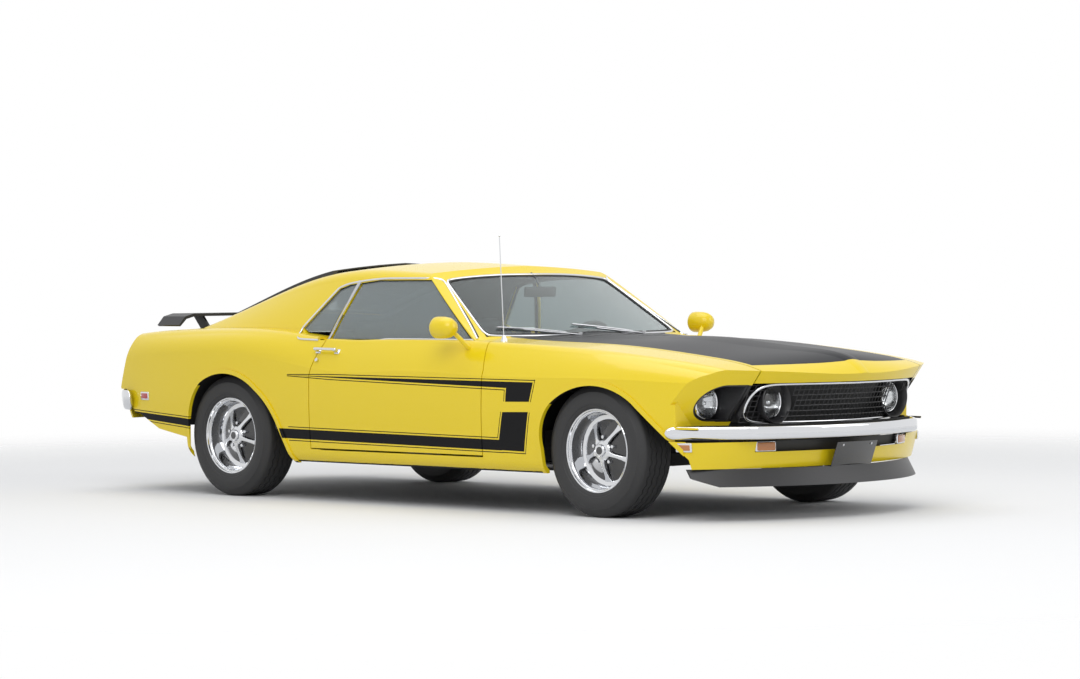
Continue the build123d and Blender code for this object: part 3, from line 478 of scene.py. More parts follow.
# %% Tyre: rounded shoulders and five ribs parted by zigzag grooves
TYRE_SEGMENTS, GROOVE, ZIGZAG = 144, 7, 0.0035
TREAD_FROM_RADIUS, TREAD_HALF_WIDTH = 0.3150, 0.062
outer_half = [
    (209, -98.5), (212.5, -103.5), (220, -107), (224, -108), (227, -111), (242, -115), (262, -116.5),
    (283, -112.5), (287, -112), (290, -109), (302, -101), (312, -95.5), (320, -88), (323.8, -80)
]
tread = []
for middle in (-52, -18, 18, 52):
    for radius, from_middle in ((324.6, -0.5), (317, -0.25), (317, 0.25), (324.6, 0.5)):
        tread.append((radius, middle + from_middle * GROOVE))
inner_half = [(radius, -along) for radius, along in reversed(outer_half)]
tyre_profile = outer_half + tread + inner_half + [(195, 86), (195, -86)]
tyre_model = lathe(tyre_profile, segments=TYRE_SEGMENTS, close=True)
for vertex in tyre_model.data.vertices:
    radius = math.hypot(vertex.co.x, vertex.co.z)
    if radius > TREAD_FROM_RADIUS and abs(vertex.co.y) < TREAD_HALF_WIDTH:
        turn = round(math.atan2(vertex.co.z, vertex.co.x) / (2 * math.pi / TYRE_SEGMENTS))
        vertex.co.y += ZIGZAG if turn % 4 < 2 else -ZIGZAG
print("turned the tyre with", len(tyre_model.data.vertices), "points")

# %% [markdown]
# ## Rim
# The well, the dish, the hub and its black badge are turned. A spoke is no ring: it starts as a flat
# face that is pulled outward station by station and scaled to each width, then gets its thickness.
# One spoke and one nut are made, and copies of them are turned about the axle.

# %% Rim well, dish, hub and the five spokes
well = lathe(
    [
        (207, -93), (207.5, -96), (204, -98.5), (198.5, -96), (196, -90), (190, -86), (186.5, -80),
        (185, -70), (182.5, -45), (179, -25), (173, -14), (162, -9), (152, -8), (150, -2), (172, 12),
        (172, 90), (190, 96), (207, 96), (205, 92), (190.5, 88), (190.5, -88), (205, -91.5)
    ],
    close=True
)
dish = lathe([(153, -4), (120, -13), (88, -25), (50, -40), (48, -20), (90, -4), (153, 4)], close=True)
hub = lathe(
    [
        (50, -24), (50, -56), (46, -61), (34, -63), (31, -65), (30, -74), (27, -78), (20, -79.5),
        (20, -78), (1, -77.5), (1, -24)
    ],
    segments=64, close=True
)
badge = lathe([(19, -78.2), (19, -79.2), (1, -79.6), (1, -78.2)], segments=48, close=True)

clear_selection()
bpy.ops.mesh.primitive_plane_add(size=1, location=(0, 0, 0), rotation=(math.pi / 2, 0, 0))
spoke = bpy.context.object
bpy.ops.object.transform_apply(location=True, rotation=True, scale=True)
# Stations along a spoke: radius, half width, distance along the axle, all in metres.
SPOKE_STATIONS = [
    (0.040, 0.0180, -0.066), (0.060, 0.0105, -0.062), (0.085, 0.0085, -0.052), (0.112, 0.0095, -0.038),
    (0.134, 0.0140, -0.026), (0.154, 0.0250, -0.016)
]
for vertex in spoke.data.vertices:
    station = SPOKE_STATIONS[0] if vertex.co.x < 0 else SPOKE_STATIONS[1]
    vertex.co = (station[0], station[2], math.copysign(station[1], vertex.co.z))
bpy.ops.object.mode_set(mode="EDIT")
bpy.ops.mesh.select_mode(type="VERT")
bpy.ops.mesh.select_all(action="DESELECT")
bpy.ops.object.mode_set(mode="OBJECT")
for vertex in spoke.data.vertices:
    vertex.select = vertex.co.x > 0.05
bpy.ops.object.mode_set(mode="EDIT")
for (xa, wa, ya), (xb, wb, yb) in zip(SPOKE_STATIONS[1:], SPOKE_STATIONS[2:]):
    bpy.ops.mesh.extrude_region_move(TRANSFORM_OT_translate={"value": (xb - xa, yb - ya, 0)})
    bpy.ops.transform.resize(value=(1, 1, wb / wa), center_override=(xb, yb, 0))
bpy.ops.mesh.select_all(action="SELECT")
bpy.ops.mesh.extrude_region_move(TRANSFORM_OT_translate={"value": (0, 0.018, 0)})
bpy.ops.mesh.select_all(action="SELECT")
bpy.ops.mesh.normals_make_consistent(inside=False)
bpy.ops.object.mode_set(mode="OBJECT")
rounding = spoke.modifiers.new("rounding", "BEVEL")
rounding.width, rounding.segments, rounding.limit_method = 0.0035, 3, "ANGLE"
bpy.ops.object.modifier_apply(modifier="rounding")

nut = cylinder(0.0095, 0.024, (0.0660, -0.0450, 0), sides=6, turn=(math.pi / 2, 0, 0))
rounding = nut.modifiers.new("rounding", "BEVEL")
rounding.width, rounding.segments = 0.0015, 2
bpy.ops.object.modifier_apply(modifier="rounding")


def around_axle(piece, turns):
    """Copies of the piece, turned about the axle. The piece itself is taken away."""
    copies = []
    for turn in turns:
        clear_selection()
        piece.select_set(True)
        bpy.context.view_layer.objects.active = piece
        bpy.ops.object.duplicate()
        copy = bpy.context.object
        copy.data.transform(Matrix.Rotation(turn, 4, "Y"))
        copies.append(copy)
    bpy.data.objects.remove(piece)
    return copies


STEP, FIRST_SPOKE = 2 * math.pi / 5, math.radians(18)
spokes = around_axle(spoke, [STEP * k + FIRST_SPOKE for k in range(5)])
nuts = around_axle(nut, [STEP * (k + 0.5) + FIRST_SPOKE for k in range(5)])
for piece in (well, dish, hub, badge, *spokes, *nuts):
    piece.data.materials.append(gloss_black if piece in (dish, badge) else chrome)
rim_model = join_pieces([well, dish, hub, badge, *spokes, *nuts], "rim model")
print("built the rim with", len(rim_model.data.polygons), "faces")

# %% [markdown]
# ## Four wheels
# The left wheels are the right ones turned half round, not mirrored, so that the faces keep looking
# outward. The middle of each wheel is taken from the box of the solid tyre that it stands for.

# %% Set a wheel at each corner, its outer face away from the car
for end in ("front", "rear"):
    for side in ("right", "left"):
        low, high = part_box(f"tyre_{end}_{side}")
        middle = (Vector(low) + Vector(high)) / 2
        for kind, model, finish, slot in (
                ("tyre", tyre_model, tyre_rubber, "tyre_rubber"),
                ("rim", rim_model, None, "chrome_trim")):
            clear_selection()
            model.select_set(True)
            bpy.context.view_layer.objects.active = model
            bpy.ops.object.duplicate()
            copy = bpy.context.object
            if side == "left":
                copy.data.transform(Matrix.Rotation(math.pi, 4, "Z"))
            copy.data.transform(Matrix.Translation(middle))
            name = f"{kind}-{end}-{side}-dressed"
            piece = finish_piece(copy, name, f"{end}_{side}_wheel", finish, slot, angle=30)
            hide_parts(f"{kind}_{end}_{side}")
bpy.data.objects.remove(tyre_model)
bpy.data.objects.remove(rim_model)
print("set four wheels")

# %% [markdown]
# ## Ways to place trim
# Trim follows the panels. Some of it runs along a panel's own curve, which is worked out again here
# from the same radius and lean, and some of it is set where a ray from outside meets the panel.


# %% The nose, grille, valance and windscreen are arcs in plan that lean with height
# Each row: X on the centre line, the height it is measured at, lean in X per Z, radius in plan.
CURVED = {
    "nose": (2.376, 0.670, 0.78, 1.2046),
    "grille": (2.336, 0.670, 0.45, 1.3132),
    "valance": (2.300, 0.365, 0.30, 1.4607),
    "screen": (0.638, 0.858, -1.555, 2.1879),
}


def on_curve(kind, y, z, ahead=0.0):
    """The point of a leaning arc at this Y and Z, moved ahead by a little."""
    middle, measured_at, lean, radius = CURVED[kind]
    x = middle + lean * (z - measured_at) - radius + math.sqrt(radius ** 2 - y ** 2)
    return Vector((x + ahead, y, z))


def touch(names, start, direction):
    """Where a ray from outside first meets one of these solids, and the outward normal there."""
    start = Vector(start)
    touched = []
    for name in names:
        hit, point, normal, _ = nodes[name].ray_cast(start, Vector(direction))
        if hit:
            touched.append((point, normal))
    return min(touched, key=lambda place: (place[0] - start).length, default=None)


SIDE_PANELS = ("body_shell", "front_wings", "door_right", "valance_front", "headlamp_housings")
BOTH_DOORS = ("right_door", "left_door")


def touch_side(x, z):
    """A point of the car's right-hand side, and its normal."""
    return touch(SIDE_PANELS, (x, -1.3, z), (0, 1, 0))


def seat_on(piece, point, normal, along=(1, 0, 0)):
    """Turns a piece whose outer face looks to -Y so that it lies on a panel at the point."""
    outward = Vector(normal).normalized()
    right = (Vector(along) - outward * Vector(along).dot(outward)).normalized()
    up = right.cross(-outward).normalized()
    if up.z < 0:
        up = -up
    turn = Matrix((right, -outward, up)).transposed().to_4x4()
    piece.data.transform(Matrix.Translation(Vector(point)) @ turn)
    piece.data.update()


def block(size, middle=(0, 0, 0), rounding=0.002, turn=(0, 0, 0)):
    """A cube brought to its size and given rounded edges."""
    clear_selection()
    bpy.ops.mesh.primitive_cube_add(size=1, location=middle, rotation=turn)
    piece = bpy.context.object
    piece.scale = size
    bpy.ops.object.transform_apply(location=True, rotation=True, scale=True)
    if rounding:
        bevel = piece.modifiers.new("rounding", "BEVEL")
        bevel.width, bevel.segments = rounding, 3
        bpy.ops.object.modifier_apply(modifier="rounding")
    return piece


def ball(radii, middle, segments=32):
    """A sphere stretched to its radii along X, Y and Z."""
    clear_selection()
    bpy.ops.mesh.primitive_uv_sphere_add(
        segments=segments, ring_count=segments // 2, radius=1, location=middle)
    piece = bpy.context.object
    piece.scale = radii
    bpy.ops.object.transform_apply(location=True, rotation=True, scale=True)
    return piece


def tube(points, radius, closed=False, sides=2):
    """A round bar along the points."""
    clear_selection()
    bpy.ops.curve.primitive_nurbs_path_add()
    path = bpy.context.object
    path.data.splines.clear()
    spline = path.data.splines.new("NURBS" if len(points) > 2 else "POLY")
    spline.points.add(len(points) - 1)
    for point, where in zip(spline.points, points):
        point.co = (*where, 1.0)
    if len(points) > 2:
        spline.order_u = 3
        spline.use_endpoint_u = not closed
        spline.use_cyclic_u = closed
        spline.resolution_u = 8
    path.data.dimensions = "3D"
    path.data.bevel_depth = radius
    path.data.bevel_resolution = sides
    path.data.use_fill_caps = True
    bpy.ops.object.convert(target="MESH")
    return bpy.context.object


def draped(columns, rows, place):
    """A grid whose corners are put where place(u, v) says, with u and v from 0 to 1."""
    clear_selection()
    bpy.ops.mesh.primitive_grid_add(x_subdivisions=columns, y_subdivisions=rows, size=1)
    sheet = bpy.context.object
    for vertex in sheet.data.vertices:
        vertex.co = place(vertex.co.x + 0.5, vertex.co.y + 0.5)
    return sheet


def thicken(piece, thickness):
    """Gives a sheet its thickness, on the side away from its faces."""
    solid = piece.modifiers.new("thickness", "SOLIDIFY")
    solid.thickness, solid.offset = thickness, -1.0
    bpy.context.view_layer.objects.active = piece
    bpy.ops.object.modifier_apply(modifier="thickness")
    return piece


def sheet_along(kind, half, low, high, ahead, columns=30, rows=2):
    """A thin sheet that follows one of the arcs, out to half on each side and from low to high."""
    def place(u, v):
        return on_curve(kind, (2 * u - 1) * half, low + v * (high - low), ahead)

    return thicken(draped(columns, rows, place), 0.002)


def face_forward(piece, where):
    """Turns a piece made along the axle so that its outer face looks ahead, and moves it there."""
    piece.data.transform(Matrix.Translation(Vector(where)) @ Matrix.Rotation(math.pi / 2, 4, "Z"))
    return piece


def both_sides(piece, name, finish, slot, angle=35, bodies=("body", "body")):
    """Finishes a right-hand piece and its mirror image. bodies carry the right and the left one."""
    twin = mirrored_copy(piece, name + "-left")
    finish_piece(piece, name + "-right", bodies[0], finish, slot, angle)
    finish_piece(twin, name + "-left", bodies[1], finish, slot, angle)
    return piece, twin


# %% [markdown]
# ## Grille
# The grille is a fine mesh of thin bars inside a bright ring that runs under the hood's lip, round
# both ends and back above the bumper. A black wall joins the ring to the mesh behind it.

# %% Mesh: a grid draped on the grille's curve, cut round the lamps and turned to wire
GRILLE_LOW, GRILLE_HIGH, GRILLE_HALF = 0.470, 0.648, 0.597
LAMP_IN_Y, LAMP_IN_Z, LAMP_OUT_Y, LAMP_OUT_Z = 0.440, 0.565, 0.697, 0.564


def grille_place(u, v):
    return on_curve(
        "grille", (2 * u - 1) * GRILLE_HALF, GRILLE_LOW + v * (GRILLE_HIGH - GRILLE_LOW), 0.004
    )


mesh = draped(42, 7, grille_place)
bpy.ops.object.mode_set(mode="EDIT")
bpy.ops.mesh.select_mode(type="FACE")
bpy.ops.mesh.select_all(action="DESELECT")
bpy.ops.object.mode_set(mode="OBJECT")
for face in mesh.data.polygons:
    from_lamp = math.hypot(abs(face.center.y) - LAMP_IN_Y, face.center.z - LAMP_IN_Z)
    face.select = from_lamp < 0.094
bpy.ops.object.mode_set(mode="EDIT")
bpy.ops.mesh.delete(type="FACE")
bpy.ops.mesh.select_mode(type="VERT")
bpy.ops.object.mode_set(mode="OBJECT")
wire = mesh.modifiers.new("bars", "WIREFRAME")
wire.thickness = 0.0052
wire.use_even_offset = True
wire.use_boundary = True
bpy.ops.object.modifier_apply(modifier="bars")
finish_piece(mesh, "grille-mesh", "body", satin_black, "black_paint", angle=None)
back = sheet_along("grille", half=0.592, low=0.468, high=0.646, ahead=-0.075, columns=24, rows=6)
finish_piece(back, "grille-back", "body", weatherstrip, "black_paint")
print("the grille mesh has", len(mesh.data.polygons), "faces")

# %% Ring and the wall behind it, from half an outline of (Y, Z) points
RING_HALF = [
    (0.0, 0.651), (0.20, 0.652), (0.40, 0.653), (0.500, 0.652), (0.545, 0.642), (0.572, 0.620),
    (0.588, 0.585), (0.592, 0.545), (0.586, 0.510), (0.570, 0.488), (0.540, 0.474), (0.48, 0.468),
    (0.25, 0.466), (0.0, 0.465)
]
ring_outline = RING_HALF + [(-y, z) for y, z in reversed(RING_HALF[1:-1])]
RING_TOP, RING_LEAN = 0.651, 0.48
ring_points = []
for y, z in ring_outline:
    below_top = Vector((RING_LEAN * (z - RING_TOP), 0, z - RING_TOP))
    ring_points.append(on_curve("nose", y, RING_TOP, -0.008) + below_top)
ring = tube(ring_points, 0.0075, closed=True, sides=4)
finish_piece(ring, "grille-ring", "body", chrome, "chrome_trim", angle=60)
clear_selection()
bpy.ops.mesh.primitive_circle_add(vertices=len(ring_points), radius=1)
wall = bpy.context.object
for vertex, point in zip(wall.data.vertices, ring_points):
    vertex.co = point
bpy.ops.object.mode_set(mode="EDIT")
bpy.ops.mesh.select_all(action="SELECT")
bpy.ops.mesh.extrude_region_move(TRANSFORM_OT_translate={"value": (-0.055, 0, 0)})
bpy.ops.object.mode_set(mode="OBJECT")
thicken(wall, 0.002)
finish_piece(wall, "grille-wall", "body", satin_black, "black_paint", angle=60)
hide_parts("grille")

# %% [markdown]
# ## Headlamps
# Each of the four lamps is a sealed beam: a fluted convex lens, a mirrored bowl behind it, a small
# bright ball that hides the bulb, and a ring that holds them. All but the ball is turned on the lathe.
# The inner pair also has a black tube that comes out to the mesh.

# %% The parts of one lamp, as (radius, distance) profiles with the front towards -Y
LAMP_LENS = [
    (70.5, -8), (60, -13.5), (45, -18), (25, -21.5), (0.5, -23), (0.5, -19.5), (25, -18), (45, -14.5),
    (60, -10), (70.5, -4.5)
]
LAMP_BOWL = [
    (71, -6), (61, 8), (45, 22), (25, 31), (0.5, 34), (0.5, 37), (27, 34), (48, 25), (64, 10), (72.5, -4)
]
LAMP_RING = [(78.5, 10), (78.5, -8), (77, -13), (74, -15), (71.2, -13.5), (70, -9), (70.5, 10)]
LAMP_TUBE = [(102, -44), (103.5, -52), (100, -56), (96, -54), (84, -8), (80, 12), (86, 14), (99, -40)]

# %% Glass with fine upright flutes
fluted_glass = glass_finish("fluted lamp glass", (0.95, 0.96, 0.96), 1.0)
flute_tree = fluted_glass.node_tree
flutes = flute_tree.nodes.new("ShaderNodeTexWave")
flutes.bands_direction = "Y"
flutes.inputs["Scale"].default_value = 38.0
flute_bump = flute_tree.nodes.new("ShaderNodeBump")
flute_bump.inputs["Strength"].default_value = 0.35
flute_bump.inputs["Distance"].default_value = 0.002
flute_place = flute_tree.nodes["Texture Coordinate"]
flute_tree.links.new(flute_place.outputs["Object"], flutes.inputs["Vector"])
flute_tree.links.new(flutes.outputs["Fac"], flute_bump.inputs["Height"])
flute_shader = flute_tree.nodes["Principled BSDF"]
flute_tree.links.new(flute_bump.outputs["Normal"], flute_shader.inputs["Normal"])
print("mixed the fluted glass")

# %% Turn the four lamps and set them in the nose
LAMPS_AT = {"outer": (1.9834, -LAMP_OUT_Y, LAMP_OUT_Z), "inner": (2.162, -LAMP_IN_Y, LAMP_IN_Z)}
lamp_pieces = []
for place_name, where in LAMPS_AT.items():
    shield = ball((0.011, 0.011, 0.011), (0, 0.004, 0), segments=24)
    parts = [
        ("lens", lathe(LAMP_LENS, 64, close=True), fluted_glass, "tinted_glass"),
        ("bowl", lathe(LAMP_BOWL, 64, close=True), chrome, "chrome_trim"),
        ("ring", lathe(LAMP_RING, 64, close=True), chrome, "chrome_trim"),
        ("shield", shield, chrome, "chrome_trim"),
    ]
    if place_name == "inner":
        parts.append(("tube", lathe(LAMP_TUBE, 64, close=True), satin_black, "black_paint"))
    for kind, piece, finish, slot in parts:
        face_forward(piece, where)
        name = f"headlamp-{place_name}-{kind}"
        lamp_pieces += both_sides(piece, name, finish, slot, angle=50)
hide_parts("headlamps")
print("turned", len(lamp_pieces), "lamp pieces")

# %% [markdown]
# ## Bumpers
# A bumper is one chrome blade that wraps round the corners and ends in a rounded tip. It is a grid
# whose columns follow the blade's curve in plan, and whose rows go round its section, so the grid
# closes on itself.

# %% Both blades follow a smooth curve through half a plan of (X, Y) points
FRONT_PLAN = [
    (2.380, 0.0), (2.355, 0.250), (2.265, 0.540), (2.205, 0.628), (2.105, 0.726), (2.005, 0.820),
    (1.905, 0.896)
]
REAR_PLAN = [
    (-2.380, 0.0), (-2.374, 0.300), (-2.352, 0.600), (-2.325, 0.740), (-2.285, 0.830), (-2.230, 0.872),
    (-2.150, 0.890)
]


def smooth_through(points, t):
    """The point at t, from 0 to 1, of a curve that passes through all the points."""
    place_on = min(max(t, 0.0), 1.0) * (len(points) - 1)
    k = min(int(place_on), len(points) - 2)
    f = place_on - k
    p0, p1, p2, p3 = (Vector(points[min(max(k + d, 0), len(points) - 1)]) for d in (-1, 0, 1, 2))
    squared = 2 * p0 - 5 * p1 + 4 * p2 - p3
    cubed = 3 * p1 - p0 - 3 * p2 + p3
    return 0.5 * (2 * p1 + (p2 - p0) * f + squared * f * f + cubed * f ** 3)


def rounded(wave, power):
    """A sine or cosine pushed towards 1, which squares the section's corners."""
    return math.copysign(abs(wave) ** power, wave)


def bumper_blade(name, half_plan, low, high, thick, lean):
    """lean moves the blade outward with height, and the tips taper to nothing."""
    plan = [(x, -y) for x, y in reversed(half_plan[1:])] + half_plan
    middle, half = (low + high) / 2, (high - low) / 2

    def place(u, v):
        here = smooth_through(plan, u)
        beside = smooth_through(plan, u + 0.002 if u < 0.5 else u - 0.002)
        along = (beside - here).normalized()
        out = Vector((along.y, -along.x))
        if out.dot(here) < 0:
            out = -out
        taper = min(1.0, (1 - abs(2 * u - 1)) / 0.07) ** 0.45
        turn = 2 * math.pi * v
        rise = rounded(math.sin(turn), 0.75) * half * taper
        depth = (0.5 * rounded(math.cos(turn), 0.8) - 0.5) * thick * (0.3 + 0.7 * taper)
        spot = here + out * (depth + lean * rise)
        return Vector((spot.x, spot.y, middle + rise))

    blade = draped(160, 28, place)
    bpy.ops.object.mode_set(mode="EDIT")
    merge_doubles(0.0004)
    bpy.ops.object.mode_set(mode="OBJECT")
    return finish_piece(blade, name, "body", chrome, "chrome_trim", angle=60)


front_blade = bumper_blade(
    "bumper-front-blade", FRONT_PLAN, low=0.392, high=0.456, thick=0.024, lean=0.0)
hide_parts("bumper_front")
rear_blade = bumper_blade("bumper-rear-blade", REAR_PLAN, low=0.446, high=0.556, thick=0.030, lean=0.12)
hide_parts("bumper_rear")
print("swept both bumpers")

# %% [markdown]
# ## The lower front
# Behind the chrome blade a black filler closes the gap under the grille. Below it a slot runs between
# the two turn signals, a blank plate leans back on its screws, and small marker lamps sit in the
# sides. The filler and the slot's back are sheets along the valance's curve. The lamps are rounded
# blocks: the signals lie on that curve, and the markers on the panel that a ray from outside meets.

# %% Front: filler behind the bumper, turn signals, the black slot between them, plate blank and markers
filler = sheet_along("valance", half=0.596, low=0.402, high=0.464, ahead=-0.014)
finish_piece(filler, "bumper-filler", "body", weatherstrip, "black_paint")
slot_back = sheet_along("valance", half=0.556, low=0.331, high=0.381, ahead=-0.030)
finish_piece(slot_back, "slot-back", "body", weatherstrip, "black_paint")
SIGNAL_TURN = 0.35
signal_out = (math.cos(SIGNAL_TURN), -math.sin(SIGNAL_TURN), 0)
signal_along = (math.sin(SIGNAL_TURN), math.cos(SIGNAL_TURN), 0)
SIGNAL_PARTS = [
    ("bezel", (0.112, 0.020, 0.050), -0.012, chrome, "chrome_trim"),
    ("lens", (0.100, 0.020, 0.040), -0.008, amber_lens, "red_lens"),
]
for kind, size, depth, finish, slot in SIGNAL_PARTS:
    signal = block(size, rounding=0.006)
    where = on_curve("valance", -0.505, 0.356, depth)
    seat_on(signal, where, signal_out, along=signal_along)
    both_sides(signal, f"turn-signal-{kind}", finish, slot)
PLATE_AT, PLATE_LEAN = (2.318, 0, 0.292), math.radians(21)
plate = block((0.004, 0.300, 0.160), rounding=0.0015)
plate_screws = []
for y in (-0.105, 0.105):
    for z in (-0.066, 0.066):
        screw = cylinder(0.006, 0.006, (0.003, y, z), sides=16, turn=(0, math.pi / 2, 0))
        plate_screws.append(screw)
screws = join_pieces(plate_screws, "screws")
for piece, name, finish, slot in (
        (plate, "plate-blank-front", gloss_black, "black_paint"),
        (screws, "plate-screws-front", polished_steel, "chrome_trim")):
    lean = Matrix.Rotation(PLATE_LEAN, 4, "Y")
    piece.data.transform(Matrix.Translation(PLATE_AT) @ lean)
    finish_piece(piece, name, "body", finish, slot)


def side_lamp(name, x, z, width, height, lens):
    """A small lamp let into the side: a bright bezel with its lens inside it."""
    point, normal = touch_side(x, z)
    bezel = block((width, 0.010, height), rounding=0.004)
    seat_on(bezel, point, normal)
    both_sides(bezel, name + "-bezel", chrome, "chrome_trim")
    glass = block((width - 0.016, 0.013, height - 0.016), rounding=0.003)
    seat_on(glass, point, normal)
    both_sides(glass, name + "-lens", lens, "red_lens")


side_lamp("front-marker", x=1.990, z=0.357, width=0.092, height=0.044, lens=amber_lens)
side_lamp("rear-marker", x=-2.042, z=0.526, width=0.079, height=0.046, lens=red_lens)
print("set the front details")

# %% [markdown]
# ## Glass trim
# Bright strips frame the windscreen, the side windows and the belt line, and a silver bar divides the
# door glass from the quarter glass. Each could be modelled as a flat ribbon, but a bar swept along the
# opening's own outline follows the panel's bend without a seam.

# %% Windscreen frame and its gasket
SCREEN_HALF = [
    (0.0, 0.869), (0.35, 0.869), (0.66, 0.870), (0.701, 0.880), (0.682, 0.935), (0.640, 1.045),
    (0.608, 1.128), (0.598, 1.146), (0.570, 1.161), (0.30, 1.180), (0.0, 1.183)
]
screen_outline = SCREEN_HALF + [(-y, z) for y, z in reversed(SCREEN_HALF[1:-1])]
frame_points = [on_curve("screen", y, z) for y, z in screen_outline]
frame_strip = tube(frame_points, 0.0070, closed=True, sides=3)
finish_piece(frame_strip, "screen-frame", "body", chrome, "chrome_trim", angle=60)
SCREEN_MIDDLE_Z = 1.020
gasket_points = []
for y, z in screen_outline:
    inner_z = SCREEN_MIDDLE_Z + (z - SCREEN_MIDDLE_Z) * 0.955
    gasket_points.append(on_curve("screen", y * 0.984, inner_z, -0.008))
gasket = tube(gasket_points, 0.0065, closed=True)
finish_piece(gasket, "screen-gasket", "body", weatherstrip, "black_trim", angle=60)

# %% [markdown]
# ## Side windows
# A bright moulding runs round the whole opening and a black seal sits just inside it. Their outline
# is one list of points in X and Z, and each point takes its Y from the panel itself, so that the
# moulding leans with the glass. The divider bar is a narrow sheet from the foot of the opening to its
# head. Where it crosses the open window its points go to the foot, so it narrows downward.

# %% Side windows: a bright moulding round the opening, a gasket inside it, belt strip and divider bar
WINDOW_LINE = [
    (0.500, 0.858), (0.420, 0.918), (0.250, 1.041), (0.100, 1.149), (0.074, 1.163), (0.040, 1.1665),
    (-0.150, 1.167), (-0.330, 1.167), (-0.563, 1.144), (-0.640, 1.121), (-0.655, 1.108), (-0.760, 0.995),
    (-0.840, 0.908), (-0.838, 0.893), (-0.792, 0.852), (-0.700, 0.848), (-0.620, 0.846)
]


def on_side(x, z, out):
    """The right-hand side of roof and shell, a little outward, or None over the open window."""
    hit = touch(("roof", "body_shell"), (x, -1.3, z), (0, 1, 0))
    return hit[0] + Vector((0, -out, 0)) if hit else None


moulding = tube([on_side(x, z, 0.001) for x, z in WINDOW_LINE], 0.0062, sides=3)
both_sides(moulding, "window-moulding", chrome, "chrome_trim", angle=60)
WINDOW_MIDDLE = Vector((-0.20, 0, 1.00))
seal_points = []
for x, z in WINDOW_LINE[:12]:
    p = on_side(x, z, -0.012)
    inner_x = WINDOW_MIDDLE.x + (p.x - WINDOW_MIDDLE.x) * 0.985
    inner_z = WINDOW_MIDDLE.z + (p.z - WINDOW_MIDDLE.z) * 0.945
    seal_points.append(Vector((inner_x, p.y, inner_z)))
seal = tube(seal_points, 0.0075)
both_sides(seal, "window-seal", weatherstrip, "black_trim", angle=60)
belt_points = []
for x in (0.50, 0.25, 0.0, -0.25, -0.57):
    door_top, _ = touch(("door_right",), (x, -0.798, 1.2), (0, 0, -1))
    belt_points.append(door_top + Vector((0, 0, 0.003)))
belt = tube(belt_points, 0.0055, sides=3)
both_sides(belt, "belt-strip", chrome, "chrome_trim", angle=60, bodies=BOTH_DOORS)
BAR_LOW, BAR_HIGH, BAR_WIDE = (-0.6045, 0.852), (-0.4855, 1.158), 0.027
BAR_FOOT = Vector((BAR_LOW[0], -0.79, BAR_LOW[1]))


def bar_place(u, v):
    """A point of the bar on the panel, or the bar's foot where there is no panel."""
    x = BAR_LOW[0] + v * (BAR_HIGH[0] - BAR_LOW[0]) + (u - 0.5) * BAR_WIDE
    z = BAR_LOW[1] + v * (BAR_HIGH[1] - BAR_LOW[1])
    return on_side(x, z, 0.005) or BAR_FOOT


bar = draped(1, 12, bar_place)
if bar.data.polygons[0].normal.y > 0:
    bar.data.flip_normals()
thicken(bar, 0.006)
both_sides(bar, "divider-bar", polished_steel, "chrome_trim")
print("framed the windscreen and the side windows")

# %% [markdown]
# ## Door handles and wipers
# A handle is a bar on two posts with a lock button below. It is built flat at the origin and then
# turned onto the door, and it rides on the door, so it swings with it. A wiper is a thin arm and
# a blade, each a bar through three points a little above the glass.

# %% Door handles: a bar standing off on two posts, with the lock below its rear end
point, normal = touch_side(-0.513, 0.788)
grip = block((0.165, 0.011, 0.014), (0, -0.030, 0), rounding=0.005)
POSTS_X = (-0.070, 0.070)
posts = [block((0.022, 0.032, 0.018), (x, -0.015, 0), rounding=0.004) for x in POSTS_X]
pivot_plates = [block((0.036, 0.005, 0.028), (x, -0.002, 0), rounding=0.002) for x in POSTS_X]
lock = cylinder(0.010, 0.010, (-0.060, -0.004, -0.053), turn=(math.pi / 2, 0, 0))
handle = join_pieces([grip, *posts, *pivot_plates, lock], "door-handle")
seat_on(handle, point, normal)
both_sides(handle, "door-handle", chrome, "chrome_trim", bodies=BOTH_DOORS)

# %% Wipers lie on the foot of the windscreen
WIPERS = [("wiper-driver", 0.34, -0.12, 0.925), ("wiper-passenger", -0.16, -0.60, 0.915)]
for name, pivot_y, tip_y, tip_z in WIPERS:
    middle_y = (pivot_y + tip_y) / 2
    arm_end_y = tip_y * 0.7 + pivot_y * 0.3
    arm_places = [(pivot_y, 0.872, 0.022), (middle_y, 0.893, 0.018), (arm_end_y, 0.903, 0.012)]
    blade_places = [(pivot_y - 0.06, 0.884, 0.006), (middle_y, 0.905, 0.007), (tip_y, tip_z, 0.006)]
    arm = tube([on_curve("screen", *place) for place in arm_places], 0.0045)
    blade = tube([on_curve("screen", *place) for place in blade_places], 0.0055)
    pivot = cylinder(0.013, 0.030, on_curve("screen", pivot_y, 0.869, 0.018), sides=24)
    wiper = join_pieces([arm, blade, pivot], name)
    finish_piece(wiper, name, "body", polished_steel, "chrome_trim", angle=50)
print("set", len(WIPERS), "wipers")

# %% [markdown]
# ## Mirrors and aerial
# The racing mirror is a bullet-shaped shell: a turned piece with a round glass at its back. It stands
# on a bent stem that ends in an oval foot on the door. Only the right one is made and then mirrored.

